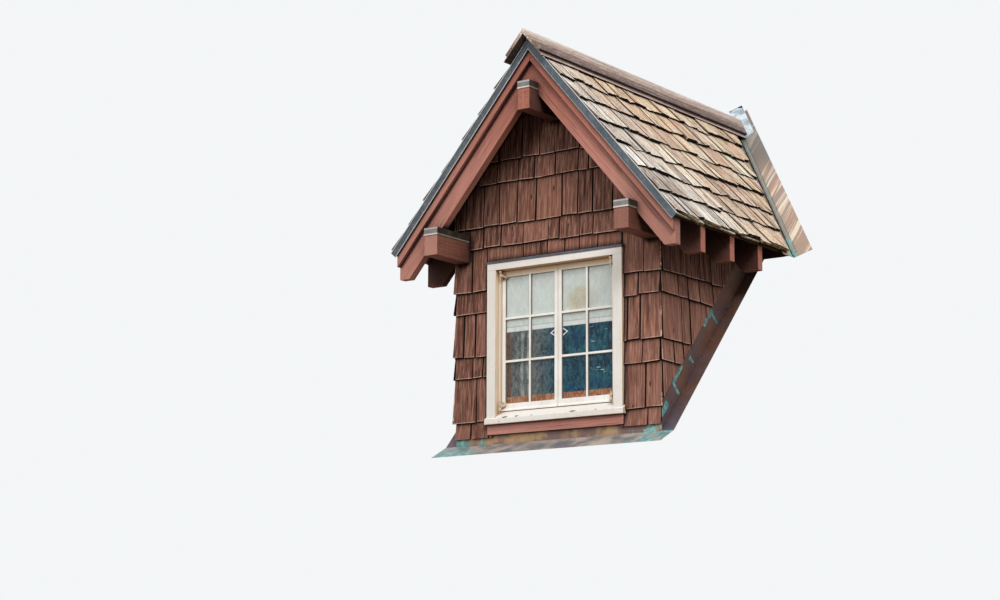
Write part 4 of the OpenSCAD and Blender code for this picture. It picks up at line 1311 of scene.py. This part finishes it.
def flat_bar(shape, start, end, height, thickness):
    """Adds a bar between two points, with its edges eased."""
    start, end = Vector(start), Vector(end)
    turn = (end - start).to_track_quat("X", "Z").to_matrix().to_4x4()
    size = Matrix.Diagonal(((end - start).length, thickness, height, 1))
    matrix = Matrix.Translation((start + end) / 2) @ turn @ size
    made = bmesh.ops.create_cube(shape, size=1, matrix=matrix)["verts"]
    edges = {edge for point in made for edge in point.link_edges}
    bmesh.ops.bevel(shape, geom=list(edges), offset=0.0012, segments=2, profile=0.6, affect="EDGES")


def window_hinges():
    """Ball-headed pins, the arms that reach them and the screws of the leaves."""
    ball = 0.0125
    angles = [math.radians(angle) for angle in range(30, 180, 15)]
    pin = [(0.0045, -0.052), (0.0045, 0.0)]
    pin += [(ball * math.sin(angle), ball - ball * math.cos(angle)) for angle in angles]
    collar = [(0.008, -0.030), (0.009, -0.028), (0.009, -0.016), (0.008, -0.014)]
    leaf_y = SASH_Y + WEATHER_BAR - 0.003
    leaves = merged_node("sash_hinges")
    shape = bmesh.new()
    spots = []
    for points in islands(leaves):
        low, high = span(points)
        side = LEFT if low.x < 0 else RIGHT
        inner = low.x if side == RIGHT else high.x
        for share, inset in ((0.25, 0.013), (0.5, 0.006), (0.75, 0.013)):
            place = (inner + side * inset, leaf_y, low.z + (high.z - low.z) * share)
            spots.append((place, FRONT))
        upper = low.z > HEAD_Z / 2
        flip = 1 if upper else -1
        foot = (high.z if upper else low.z) + flip * 0.002
        for profile in (pin, collar):
            turned(shape, [(r, flip * h) for r, h in profile][::flip], (side * PIN_X, PIN_Y, foot))
        held = (inner - side * 0.012, leaf_y - 0.002, foot - flip * 0.030)
        flat_bar(shape, (side * PIN_X, PIN_Y, foot - flip * 0.008), held, height=0.014, thickness=0.006)
    leaves.free()
    bmesh.ops.recalc_face_normals(shape, faces=shape.faces)
    for face in shape.faces:
        face.smooth = True
    mesh = as_mesh("hinge_pins", shape)
    mesh.set_sharp_from_angle(angle=math.radians(35))
    show("hinge_pins", mesh, "hinge_metal")
    fasteners("hinge_screws", spots, 0.0055, "hinge_metal", "hinge_metal")


def rows_of_nails():
    """Nails in the drip edges, ridge boards and casings."""
    chance = random.Random(3)
    drip, ridge, casing = [], [], []
    low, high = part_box("side_casings")
    for side in (LEFT, RIGHT):
        out = (side * RS, 0, RC)
        for i in range(13):
            s = 0.10 + i * 0.14 + chance.uniform(-0.02, 0.02)
            drip.append(((side * s * RC, DRIP_Y, RIDGE_Z + 0.030 / RC - s * RS), FRONT))
        for i in range(8):
            for s in (0.045, 0.115):
                y = -0.44 + i * 0.40 + chance.uniform(-0.03, 0.03)
                place = Vector((side * s * RC, y, RIDGE_Z - s * RS)) + RIDGE_TOP * Vector(out)
                ridge.append((place, out))
        for i in range(5):
            for x in (high.x - 0.015, high.x - 0.060):
                z = low.z + 0.08 + i * 0.26 + chance.uniform(-0.02, 0.02)
                casing.append(((side * x, low.y, z), FRONT))
    fasteners("drip_edge_nails", drip, 0.008, "drip_metal")
    fasteners("ridge_board_nails", ridge, 0.009, "weathered_board")
    fasteners("casing_nails", casing, 0.005, "cream_paint", "glazing_putty")


def plain_finishes():
    """Materials of the frame's own pieces."""
    looks = {
        "left_valley_flashing": "valley_copper", "right_valley_flashing": "valley_copper",
        "base_flashing": "base_copper", "step_flashings": "step_copper", "saddle_cap": "saddle_sheet",
    }
    for node, shown in frame["nodes"].items():
        shown.data.materials.clear()
        shown.data.materials.append(FINISHES[looks.get(node, SLOTS[node])])


def camera():
    """The photograph's own place and angle."""
    lens = bpy.data.cameras.new("camera")
    lens.sensor_width = 36
    lens.lens = 82.33
    holder = added("camera", lens)
    right, up = (0.81165, 0.58413, 0.00434), (0.10104, -0.14771, 0.98386)
    back = (0.57534, -0.79810, -0.17891)
    holder.matrix_world = laid((9.3167, -13.6820, -2.0345), right, up, back)
    bpy.context.scene.camera = holder


def softbox(name, place, size, power):
    """A square lamp that looks at the middle of the dormer."""
    lamp = bpy.data.lights.new(name, "AREA")
    lamp.size = size
    lamp.energy = power
    holder = added(name, lamp)
    holder.location = place
    aim = Vector((0, 0.6, 1.5)) - Vector(place)
    holder.rotation_euler = aim.to_track_quat("-Z", "Y").to_euler()


def pale_floor():
    """A plain pale floor well below the dormer."""
    floor_z = -3.4
    mesh = as_mesh("floor", grid(columns=1, rows=1, size=160))
    mesh.transform(Matrix.Translation((0, 0, floor_z)))
    floor = added("floor", mesh)
    tree = Finish("floor")
    pale = tree.mix((248, 248, 246), (253, 253, 251), tree.noise(0.6, 2.0))
    seen = tree.node("ShaderNodeLightPath", output="Is Camera Ray")
    tree.base((128, 116, 106), pale, seen)
    tree.done(None, 0, 0.9)
    mesh.materials.append(FINISHES["floor"])


def studio():
    """A pale backdrop and soft light."""
    world = bpy.data.worlds.new("studio")
    bpy.context.scene.world = world
    world.use_nodes = True
    tree = Tree(world.node_tree)
    sky = tree.nodes["Background"]
    seen = tree.node("ShaderNodeLightPath", output="Is Camera Ray")
    height = tree.xyz(tree.node("ShaderNodeTexCoord", output="Generated"))[2]
    tree.feed(sky.inputs["Strength"], seen + (1 - seen) * height.step(-0.2, 0.8, 0.26, 1.05))
    tree.feed(sky.inputs["Color"], (244, 246, 248))
    softbox("key", (7.5, -7.5, 9.0), size=4.0, power=900)
    softbox("front", (-2.5, -11.5, 5.0), size=5.0, power=330)


for one_side, one_hand in HANDS:
    roof_shakes(one_side, one_hand)
    cheek_shingles(one_side, one_hand)
front_shingles()
all_timber()
for one_side, one_hand in HANDS:
    pane_putty(one_side, one_hand)
HEADS = fastener_heads()
window_hinges()
rows_of_nails()
roller_blind()
plain_finishes()
camera()
pale_floor()
studio()
bpy.context.scene.view_settings.view_transform = "Standard"
